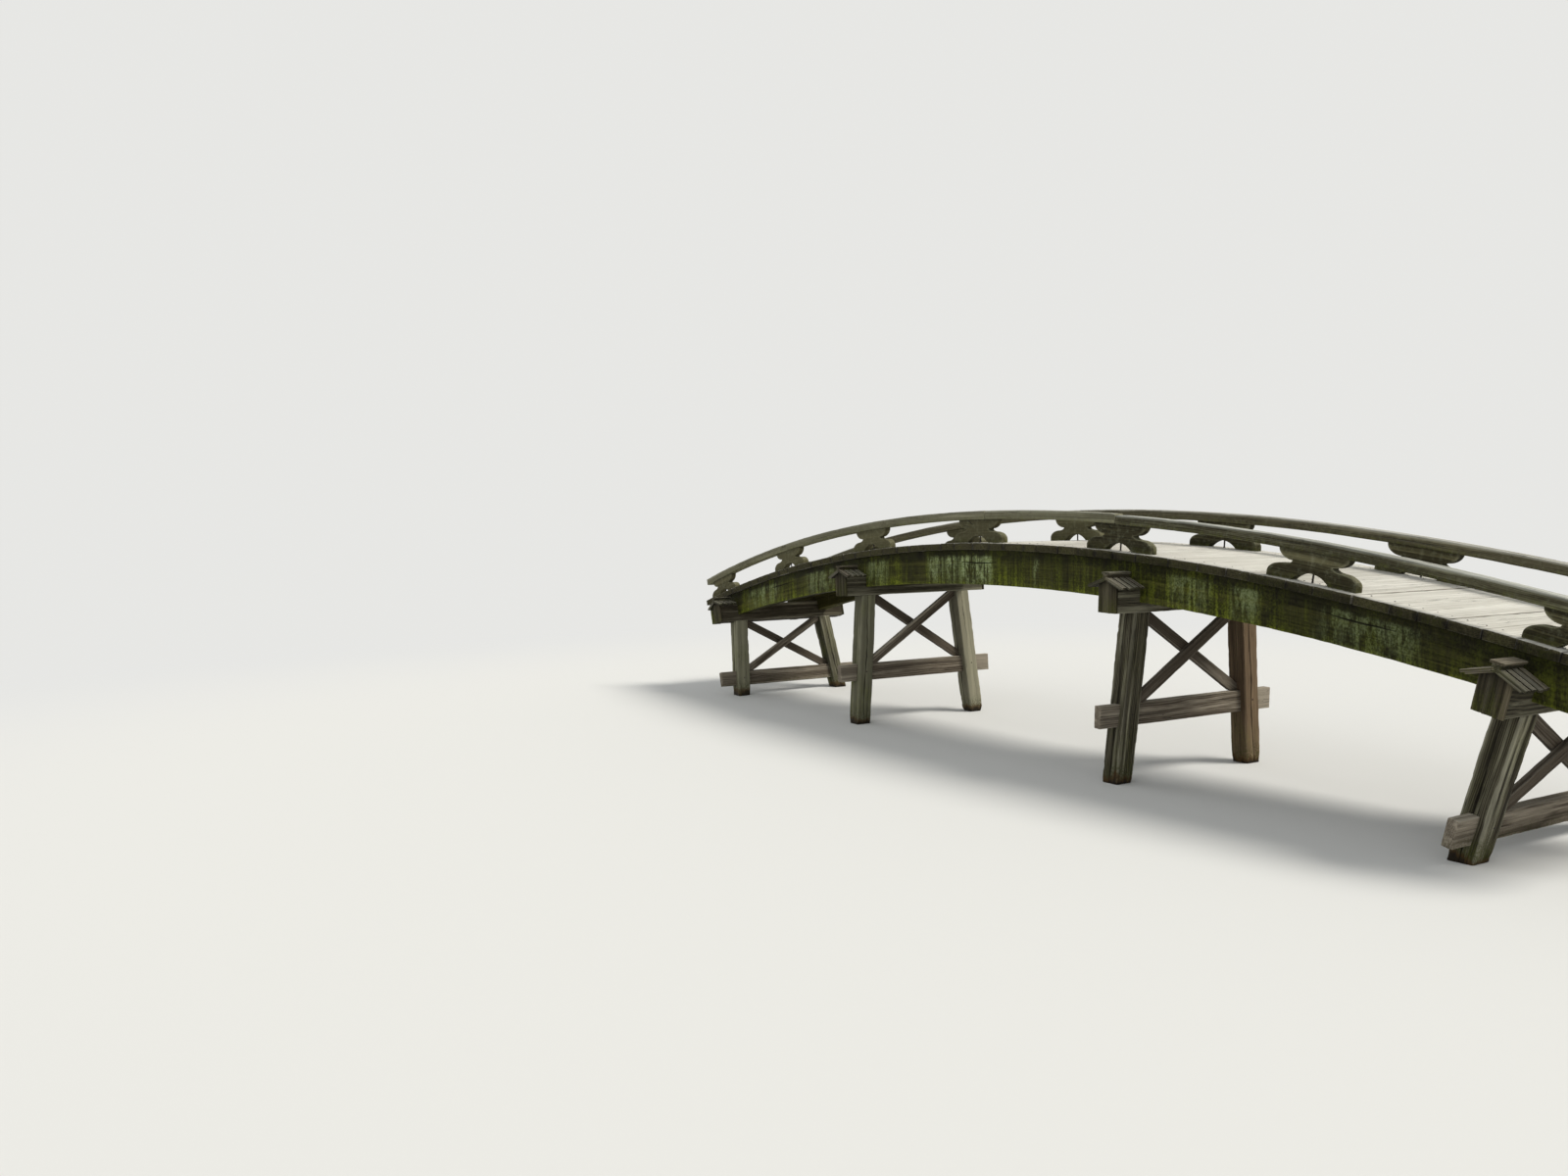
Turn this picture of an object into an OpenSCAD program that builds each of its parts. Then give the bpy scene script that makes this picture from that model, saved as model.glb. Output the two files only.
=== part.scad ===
// Moon bridge: an arched timber garden bridge on four fanned two-post trestles.
// X runs along the bridge, Y across it (near side is -Y), Z up from the water line.

/* [Arch] */
// Radius of the girders' upper edge, on which the deck lies
arch_radius = 22210; // [20500:10:24500]
// Radius of the girders' lower edge, which is a flatter arc
edge_radius = 23860; // [22500:10:26500]
// Height of the girders' lower edge above the water at the crown
crown_height = 1577; // [1450:1:1800]
// Angle from the crown to the ends of girders, deck and rails
end_angle = 15.2; // [15.1:0.1:16]
// Angle from the crown to the two inner trestles
inner_angle = 5.23; // [4.8:0.01:5.6]
// Angle from the crown to the two outer trestles
outer_angle = 13.32; // [12.6:0.01:13.8]

/* [Girders] */
// Depth of a girder at the crown
girder_depth = 333; // [290:1:380]
// Thickness of a girder
girder_thick = 130; // [100:1:150]

/* [Deck] */
// Width of the deck
deck_width = 1458; // [1380:2:1600]
// Thickness of the deck planks
plank_thick = 68; // [45:1:80]
// Overhang of the deck past a girder's outer face
deck_overhang = 45; // [20:1:80]

/* [Trestles] */
// Lean of an inner trestle's feet toward the middle of the bridge, in degrees
inner_tilt = 2.9; // [0:0.1:6]
// Lean of an outer trestle's feet toward the middle of the bridge, in degrees
outer_tilt = 13.7; // [10:0.1:16]
// Side of a square post
post_side = 175; // [150:1:190]
// Width of the chamfer on a post's corners
post_chamfer = 12; // [5:1:25]
// Distance from the deck's edge in to a post's centre, at the girders' lower edge
post_inset = 96; // [70:1:120]
// Lean of each post outward, in degrees
post_lean = 5.85; // [4:0.05:8]
// Width of a cap beam
cap_width = 178; // [150:1:190]
// Depth of a cap beam
cap_depth = 215; // [180:1:230]
// How far a cap beam hangs below the girders
cap_drop = 88; // [60:1:110]
// How far a cap beam runs past the deck's edge
cap_projection = 208; // [170:1:240]
// Height of a tie beam
tie_height = 185; // [150:1:210]
// Thickness of a tie beam
tie_thick = 68; // [50:1:85]
// How far a tie beam runs past the posts' outer faces
tie_projection = 207; // [150:1:240]
// Height of an inner trestle's tie beam above the water
inner_tie_height = 468; // [420:1:520]
// Height of an outer trestle's tie beam above the water
outer_tie_height = 128; // [100:1:180]
// Height of a brace's section
brace_height = 95; // [80:1:110]
// Thickness of one brace
brace_thick = 45; // [35:1:55]

/* [Cap ends] */
// Width of the board over a cap beam's end
cover_width = 198; // [190:1:215]
// Thickness of the board over a cap beam's end
cover_thick = 22; // [16:1:30]
// Width of the little roof over a cap beam's end
roof_width = 390; // [340:2:430]
// Overhang of the little roof past the cover board
roof_overhang = 26; // [10:1:40]
// Gap between the little roof and the girder's face
roof_gap = 60; // [20:1:80]
// Slope of the little roof, in degrees
roof_slope = 22; // [16:1:28]
// Thickness of the little roof's boards
roof_thick = 20; // [14:1:28]
// Least thickness of the bearer between a cap beam and its little roof
bearer_thick = 15; // [8:1:25]
// Height of the block along the little roof's ridge
ridge_height = 30; // [24:1:44]
// Width of the block along the little roof's ridge
ridge_width = 52; // [40:1:60]
// Width of the flat board on the ridge block
ridge_board_width = 90; // [70:1:110]
// Thickness of the flat board on the ridge block
ridge_board_thick = 17; // [12:1:22]

/* [Rails] */
// Width of a rail
rail_width = 95; // [85:1:120]
// Height of a rail
rail_height = 82; // [60:1:95]
// Distance from the deck's edge in to a rail's outer face
rail_inset = 54; // [30:1:80]
// Angle between neighbouring rail supports
support_angle = 4.69; // [4.5:0.01:4.72]
// Height of the rail supports
support_height = 222; // [200:1:240]
// Thickness of the rail supports
support_thick = 75; // [60:1:80]
// Width of a rail support at its foot
foot_width = 720; // [640:2:760]
// Height of the upright edge at a support's foot
foot_edge = 30; // [20:1:40]
// Width of the rounded shoulder on a support's foot
shoulder_width = 124; // [100:1:140]
// Height of the rounded shoulder on a support's foot
shoulder_height = 75; // [60:1:85]
// Width of a rail support at its waist
waist_width = 320; // [280:2:340]
// Height of a rail support's waist above the deck
waist_height = 134; // [125:1:140]
// Width of a rail support under the rail
head_width = 560; // [520:2:600]
// Width of the arched opening in a support's foot
opening_width = 300; // [240:2:310]
// Height of the arched opening in a support's foot
opening_height = 66; // [50:1:80]
// Diameter of the iron rod in a support's foot
rod_diameter = 14; // [10:1:20]

/* [Kerb strip] */
// Width of the kerb strip
strip_width = 45; // [30:1:60]
// Height of the kerb strip
strip_height = 60; // [30:1:80]
// Clearance between the kerb strip and the rail supports' feet
strip_clearance = 20; // [10:1:40]

/* [Hidden] */
fine = 720;
small = 48;
arc_steps = 24;
fit_gap = 0.3;
piece_gap = 2;
near = -1;
far = 1;

// Places along the arch
arch_centre_z = crown_height + girder_depth - arch_radius;
edge_centre_z = crown_height - edge_radius;
deck_top = arch_radius + plank_thick;
rail_base = deck_top + support_height;
SUPPORTS = [-3:3];
NEAR_RAIL_JOINTS = [-2, 0, 1];
FAR_RAIL_JOINTS = [-2, 0];
STRIP_BAY = 2;

// Places across the bridge, from its middle
deck_edge = deck_width / 2;
girder_face = deck_edge - deck_overhang;
post_place = deck_edge - post_inset;
cap_end = deck_edge + cap_projection;
rail_face = deck_edge - rail_inset;
rail_middle = rail_face - rail_width / 2;

// Trestles from -X to +X
TRESTLES = ["a", "b", "c", "d"];
TRESTLE_ANGLES = [-outer_angle, -inner_angle, inner_angle, outer_angle];
TILTS = [-outer_tilt, -inner_tilt, inner_tilt, outer_tilt];
TIE_HEIGHTS = [outer_tie_height, inner_tie_height, inner_tie_height, outer_tie_height];
cap_top = cap_depth - cap_drop;
beyond_trestle = deck_width + crown_height;
soffit_ridge = cap_top + bearer_thick + tan(roof_slope) * cap_width / 2;

function arc_angle(length, radius) = length / radius * 180 / PI;

// How far an arc's middle stands above a chord of this length
function sag(radius, chord) = radius - sqrt(radius * radius - chord * chord / 4);

// Distance from the arch's centre to the girders' lower edge at an angle from the crown
function edge_distance(angle) =
    let (apart = arch_centre_z - edge_centre_z)
    sqrt(pow(edge_radius, 2) - pow(apart * sin(angle), 2)) - apart * cos(angle);

function seat_x(i) = edge_distance(TRESTLE_ANGLES[i]) * sin(TRESTLE_ANGLES[i]);
function seat_z(i) = arch_centre_z + edge_distance(TRESTLE_ANGLES[i]) * cos(TRESTLE_ANGLES[i]);

// Depth of a tie beam's upper edge below the girders, along the legs
function tie_drop(i) = (seat_z(i) - TIE_HEIGHTS[i]) / cos(TILTS[i]) - tie_height;

// Distance from the middle to a post's centre line at a depth below the girders
function post_line(depth) = post_place + tan(post_lean) * depth;

// Places children on the arch at an angle from the crown, with X along it and Z outward
module on_arch(angle, radius)
    translate([0, 0, arch_centre_z]) rotate([0, angle, 0]) translate([0, 0, radius]) children();

// Places children where a trestle meets the girders' lower edge, with Z along its legs
module on_trestle(i)
    translate([seat_x(i), 0, seat_z(i)]) rotate([0, TILTS[i], 0]) children();

// A curved bar between two angles, two radii and two distances across the bridge
module arch_bar(from, to, low, high, y0, y1)
    translate([0, 0, arch_centre_z]) rotate([-90, 0, 0]) rotate([0, 0, from - 90])
        rotate_extrude(angle = to - from, $fn = fine)
            translate([low, y0]) square([high - low, y1 - y0]);

// The same bar on the near or far side, from an outer face inward
module side_bar(side, from, to, low, high, outer, width)
    arch_bar(from, to, low, high, side < 0 ? -outer : outer - width, side < 0 ? width - outer : outer);

// The lengths between joints, as pairs of angles with a thin gap at each joint
function lengths(joints, radius) = let (
        half_gap = arc_angle(piece_gap / 2, radius),
        stops = concat([-end_angle], joints, [end_angle]), last = len(stops) - 1)
    [for (i = [1:last]) [stops[i - 1] + (i > 1 ? half_gap : 0), stops[i] - (i < last ? half_gap : 0)]];

module deck()
    color([0.78, 0.76, 0.72])
        for (part = lengths([-inner_angle, inner_angle], arch_radius))
            arch_bar(part[0], part[1], arch_radius, deck_top, -deck_edge, deck_edge);

// A point in the side view, at an angle from the crown and a distance from the arch's centre
function side_point(angle, distance) = [distance * sin(angle), arch_centre_z + distance * cos(angle)];

// Side view of a girder's length: an arc on top and a flatter arc below
module girder_outline(part) {
    angles = [for (k = [0:arc_steps]) part[0] + (part[1] - part[0]) * k / arc_steps];
    polygon(concat([for (a = angles) side_point(a, arch_radius)],
        [for (k = [arc_steps:-1:0]) side_point(angles[k], edge_distance(angles[k]))]));
}

module girder(side)
    color([0.32, 0.33, 0.22])
        difference() {
            for (part = lengths([-inner_angle, inner_angle], arch_radius))
                translate([0, side * (girder_face - girder_thick / 2), 0]) rotate([90, 0, 0])
                    linear_extrude(girder_thick, center = true) girder_outline(part);
            for (i = [0:3]) on_trestle(i) cap_block(fit_gap);
        }

module cap_block(grow = 0)
    translate([-cap_width / 2 - grow, -cap_end, -cap_drop])
        cube([cap_width + 2 * grow, 2 * cap_end, cap_depth + grow]);

module cap_beam(i)
    color([0.42, 0.38, 0.34]) on_trestle(i) cap_block();

module tie_block(i, grow = 0) {
    end = post_line(tie_drop(i) + tie_height / 2) + post_side / 2 / cos(post_lean) + tie_projection;
    translate([-tie_thick / 2 - grow, -end, -tie_drop(i) - tie_height - grow])
        cube([tie_thick + 2 * grow, 2 * end, tie_height + 2 * grow]);
}

module tie_beam(i)
    color([0.5, 0.45, 0.43]) on_trestle(i) tie_block(i);

// Square with its corners cut off
module chamfered_square(side, cut) {
    h = side / 2;
    polygon([[-h, cut - h], [cut - h, -h], [h - cut, -h], [h, cut - h],
        [h, h - cut], [h - cut, h], [cut - h, h], [-h, h - cut]]);
}

// A leaning post, cut off under its cap beam and level at the water
module post(i, side)
    color([0.5, 0.46, 0.4])
        difference() {
            intersection() {
                on_trestle(i) translate([0, side * post_place, 0]) rotate([side * post_lean, 0, 0])
                    linear_extrude(2 * beyond_trestle, center = true)
                        chamfered_square(post_side, post_chamfer);
                on_trestle(i) translate([0, 0, -cap_drop - beyond_trestle])
                    linear_extrude(beyond_trestle) square(2 * beyond_trestle, center = true);
                translate([seat_x(i), 0, 0])
                    linear_extrude(beyond_trestle) square(2 * beyond_trestle, center = true);
            }
            on_trestle(i) tie_block(i, fit_gap);
        }

// Half the clear width between a trestle's posts at a depth below the girders
function clear_half(depth) = post_line(depth) - post_side / 2 / cos(post_lean) - fit_gap;

// A brace in the frame of posts, cap and tie beam, from the foot on one side to the other's head
module brace(i, side, layer) {
    low = tie_drop(i) - fit_gap;
    high = cap_drop + fit_gap;
    color([0.4, 0.36, 0.33]) on_trestle(i)
        translate([layer * (brace_thick + fit_gap) / 2 - brace_thick / 2, 0, 0]) rotate([90, 0, 90])
            linear_extrude(brace_thick) intersection() {
                polygon([[-clear_half(low), -low], [clear_half(low), -low],
                    [clear_half(high), -high], [-clear_half(high), -high]]);
                translate([side * (clear_half(low) - clear_half(high)) / 2, -(low + high) / 2])
                    rotate(-side * atan2(low - high, clear_half(low) + clear_half(high)))
                        square([2 * deck_width, brace_height], center = true);
            }
}

// Points on the soffit of the little roof, from one edge over the ridge to the other
function soffit(width) = [for (s = [-1, 0, 1])
    [s * width / 2, soffit_ridge - abs(s) * tan(roof_slope) * width / 2]];

// Five-sided board over a cap beam's end, up to the little roof's soffit
module end_covers(i)
    color([0.47, 0.42, 0.38])
        on_trestle(i) for (side = [near, far])
            translate([0, side * (cap_end + cover_thick / 2), 0]) rotate([90, 0, 0])
                linear_extrude(cover_thick, center = true)
                    polygon(concat([[-cover_width / 2, -cap_drop]],
                        [for (p = soffit(cover_width)) [p[0], p[1] - fit_gap]],
                        [[cover_width / 2, -cap_drop]]));

// Two sloping boards, a block along the ridge and a flat board on it
module roof_section() {
    slopes = soffit(roof_width);
    polygon(concat(slopes, [for (k = [2:-1:0]) [slopes[k][0], slopes[k][1] + roof_thick]]));
    translate([-ridge_width / 2, soffit_ridge])
        square([ridge_width, roof_thick + ridge_height]);
    translate([-ridge_board_width / 2, soffit_ridge + roof_thick + ridge_height])
        square([ridge_board_width, ridge_board_thick]);
}

// Wedge-topped bearer that carries the little roof on the cap beam
module bearer_section()
    polygon(concat([[-cap_width / 2, cap_top + fit_gap]], soffit(cap_width),
        [[cap_width / 2, cap_top + fit_gap]]));

module end_roofs(i) {
    inner = girder_face + roof_gap;
    outer = cap_end + cover_thick + roof_overhang;
    color([0.55, 0.52, 0.48])
        on_trestle(i) for (side = [near, far]) {
            translate([0, side * (inner + outer) / 2, 0]) rotate([90, 0, 0])
                linear_extrude(outer - inner, center = true) roof_section();
            translate([0, side * (inner + cap_end - fit_gap) / 2, 0]) rotate([90, 0, 0])
                linear_extrude(cap_end - fit_gap - inner, center = true) bearer_section();
        }
}

module rail(side, joints)
    color([0.5, 0.47, 0.42])
        for (part = lengths([for (k = joints) k * support_angle], rail_base))
            side_bar(side, part[0], part[1], rail_base, rail_base + rail_height, rail_face, rail_width);

// Right half of a rail support's outline: upright edge, round shoulder, waist and swelling head
function support_half() = let (
        foot = foot_width / 2, waist = waist_width / 2, head = head_width / 2,
        base = fit_gap - sag(deck_top, opening_width),
        top = support_height - fit_gap - sag(rail_base, head_width))
    concat([[foot, base]],
        [for (a = [0:15:90]) [foot - shoulder_width * (1 - cos(a)), foot_edge + shoulder_height * sin(a)]],
        [[waist, waist_height]],
        [for (a = [-75:15:0]) [waist + (head - waist) * cos(a), top + (top - waist_height) * sin(a)]]);

module support_outline() {
    half = support_half();
    radius = (pow(opening_width / 2, 2) + pow(opening_height, 2)) / (2 * opening_height);
    difference() {
        polygon(concat(half, [for (i = [len(half) - 1:-1:0]) [-half[i][0], half[i][1]]]));
        translate([0, opening_height - radius]) circle(r = radius, $fn = fine);
    }
}

module rail_supports(side)
    color([0.4, 0.37, 0.3])
        for (k = SUPPORTS)
            on_arch(k * support_angle, deck_top) translate([0, side * rail_middle, 0])
                rotate([90, 0, 0]) linear_extrude(support_thick, center = true) support_outline();

module support_rods(side)
    color([0.12, 0.11, 0.11])
        for (k = SUPPORTS)
            on_arch(k * support_angle, deck_top + fit_gap) translate([0, side * rail_middle, 0])
                cylinder(d = rod_diameter, h = opening_height - 2 * fit_gap, $fn = small);

module kerb_strip(side) {
    clear = arc_angle(foot_width / 2 + strip_clearance, deck_top);
    color([0.7, 0.67, 0.62])
        side_bar(side, STRIP_BAY * support_angle + clear, (STRIP_BAY + 1) * support_angle - clear,
            deck_top + fit_gap, deck_top + fit_gap + strip_height,
            rail_middle + strip_width / 2, strip_width);
}

deck();
girder(near);  // near_girder
girder(far);  // far_girder
rail(near, NEAR_RAIL_JOINTS);  // near_rail
rail(far, FAR_RAIL_JOINTS);  // far_rail
rail_supports(near);  // near_rail_supports
rail_supports(far);  // far_rail_supports
support_rods(near);  // near_support_rods
support_rods(far);  // far_support_rods
kerb_strip(far);  // far_kerb_strip
for (i = [0:3]) {
    post(i, near);
    post(i, far);
    cap_beam(i);
    tie_beam(i);
    brace(i, near, 1);
    brace(i, far, -1);
    end_covers(i);
    end_roofs(i);
}
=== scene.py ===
import math
import bpy
import numpy as np
from mathutils import Matrix, Vector


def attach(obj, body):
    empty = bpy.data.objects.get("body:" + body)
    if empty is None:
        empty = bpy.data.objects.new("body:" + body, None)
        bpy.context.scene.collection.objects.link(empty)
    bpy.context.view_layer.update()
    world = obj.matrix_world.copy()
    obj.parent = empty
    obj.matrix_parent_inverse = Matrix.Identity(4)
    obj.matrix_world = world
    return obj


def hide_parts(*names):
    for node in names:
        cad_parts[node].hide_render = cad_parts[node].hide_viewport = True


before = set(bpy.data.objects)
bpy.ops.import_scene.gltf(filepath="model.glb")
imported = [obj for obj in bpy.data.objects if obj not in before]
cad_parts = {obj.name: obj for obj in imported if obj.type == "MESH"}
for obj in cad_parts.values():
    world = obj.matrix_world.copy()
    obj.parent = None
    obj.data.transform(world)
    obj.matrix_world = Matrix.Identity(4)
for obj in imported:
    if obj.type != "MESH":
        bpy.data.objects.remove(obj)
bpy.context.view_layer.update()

# Sizes in metres, as in the frame
ARCH_RADIUS = 22.210
EDGE_RADIUS = 23.860
CROWN_HEIGHT = 1.577
GIRDER_DEPTH = 0.333
END_ANGLE = math.radians(15.2)
INNER_ANGLE = math.radians(5.23)
OUTER_ANGLE = math.radians(13.32)
GIRDER_THICK = 0.130
DECK_WIDTH = 1.458
PLANK_THICK = 0.068
DECK_OVERHANG = 0.045
INNER_TILT = math.radians(2.9)
OUTER_TILT = math.radians(13.7)
POST_SIDE = 0.175
POST_INSET = 0.096
POST_LEAN = math.radians(5.85)
CAP_WIDTH = 0.178
CAP_DEPTH = 0.215
CAP_DROP = 0.088
CAP_PROJECTION = 0.208
TIE_HEIGHT = 0.185
TIE_THICK = 0.068
TIE_PROJECTION = 0.207
TIES_ABOVE_WATER = (0.128, 0.468, 0.468, 0.128)
BRACE_HEIGHT = 0.095
BRACE_THICK = 0.045
COVER_WIDTH = 0.198
COVER_THICK = 0.022
ROOF_WIDTH = 0.390
ROOF_OVERHANG = 0.026
ROOF_GAP = 0.060
ROOF_SLOPE = math.radians(22)
BEARER_THICK = 0.015
RAIL_WIDTH = 0.095
RAIL_HEIGHT = 0.082
RAIL_INSET = 0.054
SUPPORT_ANGLE = math.radians(4.69)
SUPPORT_HEIGHT = 0.222
SUPPORT_THICK = 0.075
OPENING_WIDTH = 0.300
OPENING_HEIGHT = 0.066
STRIP_WIDTH = 0.045
STRIP_HEIGHT = 0.060
NEAR, FAR = -1, 1
SIDE_NAMES = {NEAR: "near", FAR: "far"}

# Places worked out from the sizes
ARCH_CENTRE = CROWN_HEIGHT + GIRDER_DEPTH - ARCH_RADIUS
CENTRES_APART = GIRDER_DEPTH - ARCH_RADIUS + EDGE_RADIUS
DECK_TOP = ARCH_RADIUS + PLANK_THICK
RAIL_BASE = DECK_TOP + SUPPORT_HEIGHT
DECK_EDGE = DECK_WIDTH / 2
GIRDER_FACE = DECK_EDGE - DECK_OVERHANG
GIRDER_MIDDLE = GIRDER_FACE - GIRDER_THICK / 2
POST_PLACE = DECK_EDGE - POST_INSET
CAP_END = DECK_EDGE + CAP_PROJECTION
ROOF_START = GIRDER_FACE + ROOF_GAP
RAIL_MIDDLE = DECK_EDGE - RAIL_INSET - RAIL_WIDTH / 2
CAP_TOP = CAP_DEPTH - CAP_DROP
SOFFIT_RIDGE = CAP_TOP + BEARER_THICK + math.tan(ROOF_SLOPE) * CAP_WIDTH / 2
TRESTLES = "abcd"
TRESTLE_ANGLES = (-OUTER_ANGLE, -INNER_ANGLE, INNER_ANGLE, OUTER_ANGLE)
TILTS = (-OUTER_TILT, -INNER_TILT, INNER_TILT, OUTER_TILT)

# Gap at a girder's joint, and small gaps between surfaces that would otherwise share a plane
JOINT_GAP = 0.002
CLEARANCE = 0.0003
WIDE_CLEARANCE = 0.0005


# Noise and placing

def lattice(cell, seed):
    """A random value from 0 to 1 at each whole-number cell."""
    n = cell[..., 0] * 374761393 + cell[..., 1] * 668265263 + cell[..., 2] * 1440662683
    n = (n + seed * 974634777) & 0xFFFFFFFF
    n = ((n ^ (n >> 13)) * 1274126177) & 0xFFFFFFFF
    n = ((n ^ (n >> 15)) * 2246822519) & 0xFFFFFFFF
    return ((n ^ (n >> 16)) & 0xFFFFFF) / 0xFFFFFF


def noise(points, scale, seed, octaves=1):
    """Smooth noise from -1 to 1 at points, with scale periods a metre along each axis."""
    points = np.asarray(points, float) * scale
    total, size, reach = 0.0, 1.0, 0.0
    for octave in range(octaves):
        cell = np.floor(points).astype(np.int64)
        part = points - cell
        part = part * part * (3 - 2 * part)
        value = 0.0
        for corner in np.ndindex(2, 2, 2):
            weight = np.prod(np.where(corner, part, 1 - part), axis=-1)
            value = value + weight * lattice(cell + np.array(corner), seed + octave)
        total = total + size * (2 * value - 1)
        reach += size
        size *= 0.5
        points = points * 2.03
    return total / reach


def drift(u, periods, seed, octaves=2):
    """Smooth noise from -1 to 1 along a length."""
    u = np.asarray(u, float)
    points = np.stack([u, np.zeros_like(u), np.zeros_like(u)], -1)
    return noise(points, (periods, 1, 1), seed, octaves)


def ramp(value, start, length):
    """Rises from 0 at start to 1 a length further on, or further back if the length is negative."""
    return np.clip((value - start) / length, 0, 1)


def hump(value, centre, spread, power=2):
    """1 at the centre, falling away to either side; a higher power makes the top flatter."""
    return np.exp(-np.abs((value - centre) / spread) ** power)


def edge_distance(angle):
    """Distance from the arch's centre to the girders' lower edge."""
    across = CENTRES_APART * np.sin(angle)
    return np.sqrt(EDGE_RADIUS ** 2 - across ** 2) - CENTRES_APART * np.cos(angle)


def arch_angle(world):
    """Angle from the crown of places in the frame."""
    return np.arctan2(world[:, 0], world[:, 2] - ARCH_CENTRE)


def arch_distance(world):
    """Distance from the arch's centre of places in the frame."""
    return np.hypot(world[:, 0], world[:, 2] - ARCH_CENTRE)


def on_arch(angle, radius, y=0.0):
    """Frame on the arch: X along the bridge, Y across it, Z outward."""
    place = Matrix.Translation((radius * math.sin(angle), y, ARCH_CENTRE + radius * math.cos(angle)))
    return place @ Matrix.Rotation(angle, 4, "Y")


def on_trestle(i):
    """Frame where a trestle meets the girders' lower edge, with Z along its legs."""
    distance = float(edge_distance(TRESTLE_ANGLES[i]))
    x = distance * math.sin(TRESTLE_ANGLES[i])
    z = ARCH_CENTRE + distance * math.cos(TRESTLE_ANGLES[i])
    return Matrix.Translation((x, 0, z)) @ Matrix.Rotation(TILTS[i], 4, "Y")


def tie_drop(i):
    """Depth of a tie beam's upper edge below the girders, along the legs."""
    return (on_trestle(i).translation.z - TIES_ABOVE_WATER[i]) / math.cos(TILTS[i]) - TIE_HEIGHT


def clear_half(depth):
    """Half the clear width between a trestle's posts at a depth below the girders."""
    return POST_PLACE + math.tan(POST_LEAN) * depth - POST_SIDE / 2 / math.cos(POST_LEAN)


def soffit(x):
    """Height of the little roofs' underside in a trestle's frame."""
    return SOFFIT_RIDGE - math.tan(ROOF_SLOPE) * np.abs(x)


def axes(along, across, up, origin=(0, 0, 0)):
    """Frame with the three given directions and origin."""
    turn = Matrix([Vector(direction).normalized() for direction in (along, across, up)]).transposed()
    return Matrix.Translation(origin) @ turn.to_4x4()


ACROSS = axes((0, 1, 0), (-1, 0, 0), (0, 0, 1))


def straight(matrix):
    """Placing for a straight timber, whose length runs along the matrix's X."""
    turn, move = np.array(matrix.to_3x3()), np.array(matrix.translation)

    def place(p):
        return p @ turn.T + move
    return place


def along_arch(start, radius, y):
    """Placing for a timber bent along the arch, from an angle, with its length at that radius."""
    def place(p):
        angle = start + p[..., 0] / radius
        out = radius + p[..., 2]
        return np.stack([out * np.sin(angle), y + p[..., 1], ARCH_CENTRE + out * np.cos(angle)], -1)
    return place


# Mesh building

def band(lower, upper):
    """Quads between neighbouring closed rings of vertices."""
    return np.stack([lower, np.roll(lower, -1, -1), np.roll(upper, -1, -1), upper], -1).reshape(-1, 4)


class Build:
    """Collects the vertices, faces and painted values of one piece."""

    LAYERS = ("tone", "warm", "edge", "crack", "moss", "lichen", "stain")

    def __init__(self):
        self.points, self.grain, self.quads, self.triangles = [], [], [], []
        self.layers = {name: [] for name in self.LAYERS}
        self.count = 0

    def add(self, points, grain, quads, triangles, **layers):
        """Adds one closed shape. grain is each point's place in its own timber."""
        self.points.append(points)
        self.grain.append(grain)
        self.quads.append(quads + self.count)
        self.triangles.append(triangles + self.count)
        for name, values in self.layers.items():
            values.append(np.broadcast_to(np.asarray(layers.get(name, 0.0), float), (len(points),)))
        self.count += len(points)

    def finish(self, name, material, slot, nodes=()):
        """Makes the piece, which rides on the root and stands for the CAD nodes."""
        faces = np.concatenate(self.quads).tolist() + np.concatenate(self.triangles).tolist()
        mesh = bpy.data.meshes.new(name)
        mesh.from_pydata(np.concatenate(self.points), [], faces, shade_flat=False)
        grain = mesh.attributes.new("grain", "FLOAT_VECTOR", "POINT")
        grain.data.foreach_set("vector", np.concatenate(self.grain).reshape(-1))
        for layer, values in self.layers.items():
            data = mesh.attributes.new(layer, "FLOAT", "POINT").data
            data.foreach_set("value", np.concatenate(values))
        mesh.validate()
        mesh.materials.append(material)
        piece = bpy.data.objects.new(name, mesh)
        bpy.context.scene.collection.objects.link(piece)
        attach(piece, "root")
        if nodes:
            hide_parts(*nodes)


class Check:
    """A drying crack on a face: its place across the face from 0 to 1, and its run along the timber."""

    def __init__(self, face, across, start, end, depth=0.012, width=0.003, wander=0.06, dark=0.2, bow=0.0):
        self.face, self.across, self.start, self.end = face, across, start, end
        self.depth, self.width, self.wander, self.dark, self.bow = depth, width, wander, dark, bow

    def swell(self, u):
        """0 at the crack's ends and 1 in its middle."""
        return np.sin(np.pi * ramp(u, self.start, self.end - self.start))

    def centre(self, u, seed):
        """Its place across the face, which wanders and may bow."""
        wander = self.wander * drift(u, 2.5, seed + int(self.across * 100))
        return self.across + wander + self.bow * self.swell(u)

    def strength(self, u):
        """How far it is open, from 0 to 1."""
        return self.swell(u) ** 0.5 * (0.75 + 0.25 * drift(u, 7, int(self.across * 997) + 3))


# Corners of a timber's section, how far from an arris the next line lies, the radius over which an
# arris is cut finer, the depth at which a crack looks black, and how far up a worn end reaches
CORNERS = ((1, -1), (1, 1), (-1, 1), (-1, -1))
GUARD = 0.004
WIDE_ARRIS = 0.01
BLACK_DEPTH = 0.006
WORN_REACH = 0.05

# Sizes of the rings on an end beside the section, and the depths of its dish and of its middle
END_RINGS = (0.97, 0.6, 0.2)
END_DISH = 0.0008
END_MIDDLE = 0.001


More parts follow.
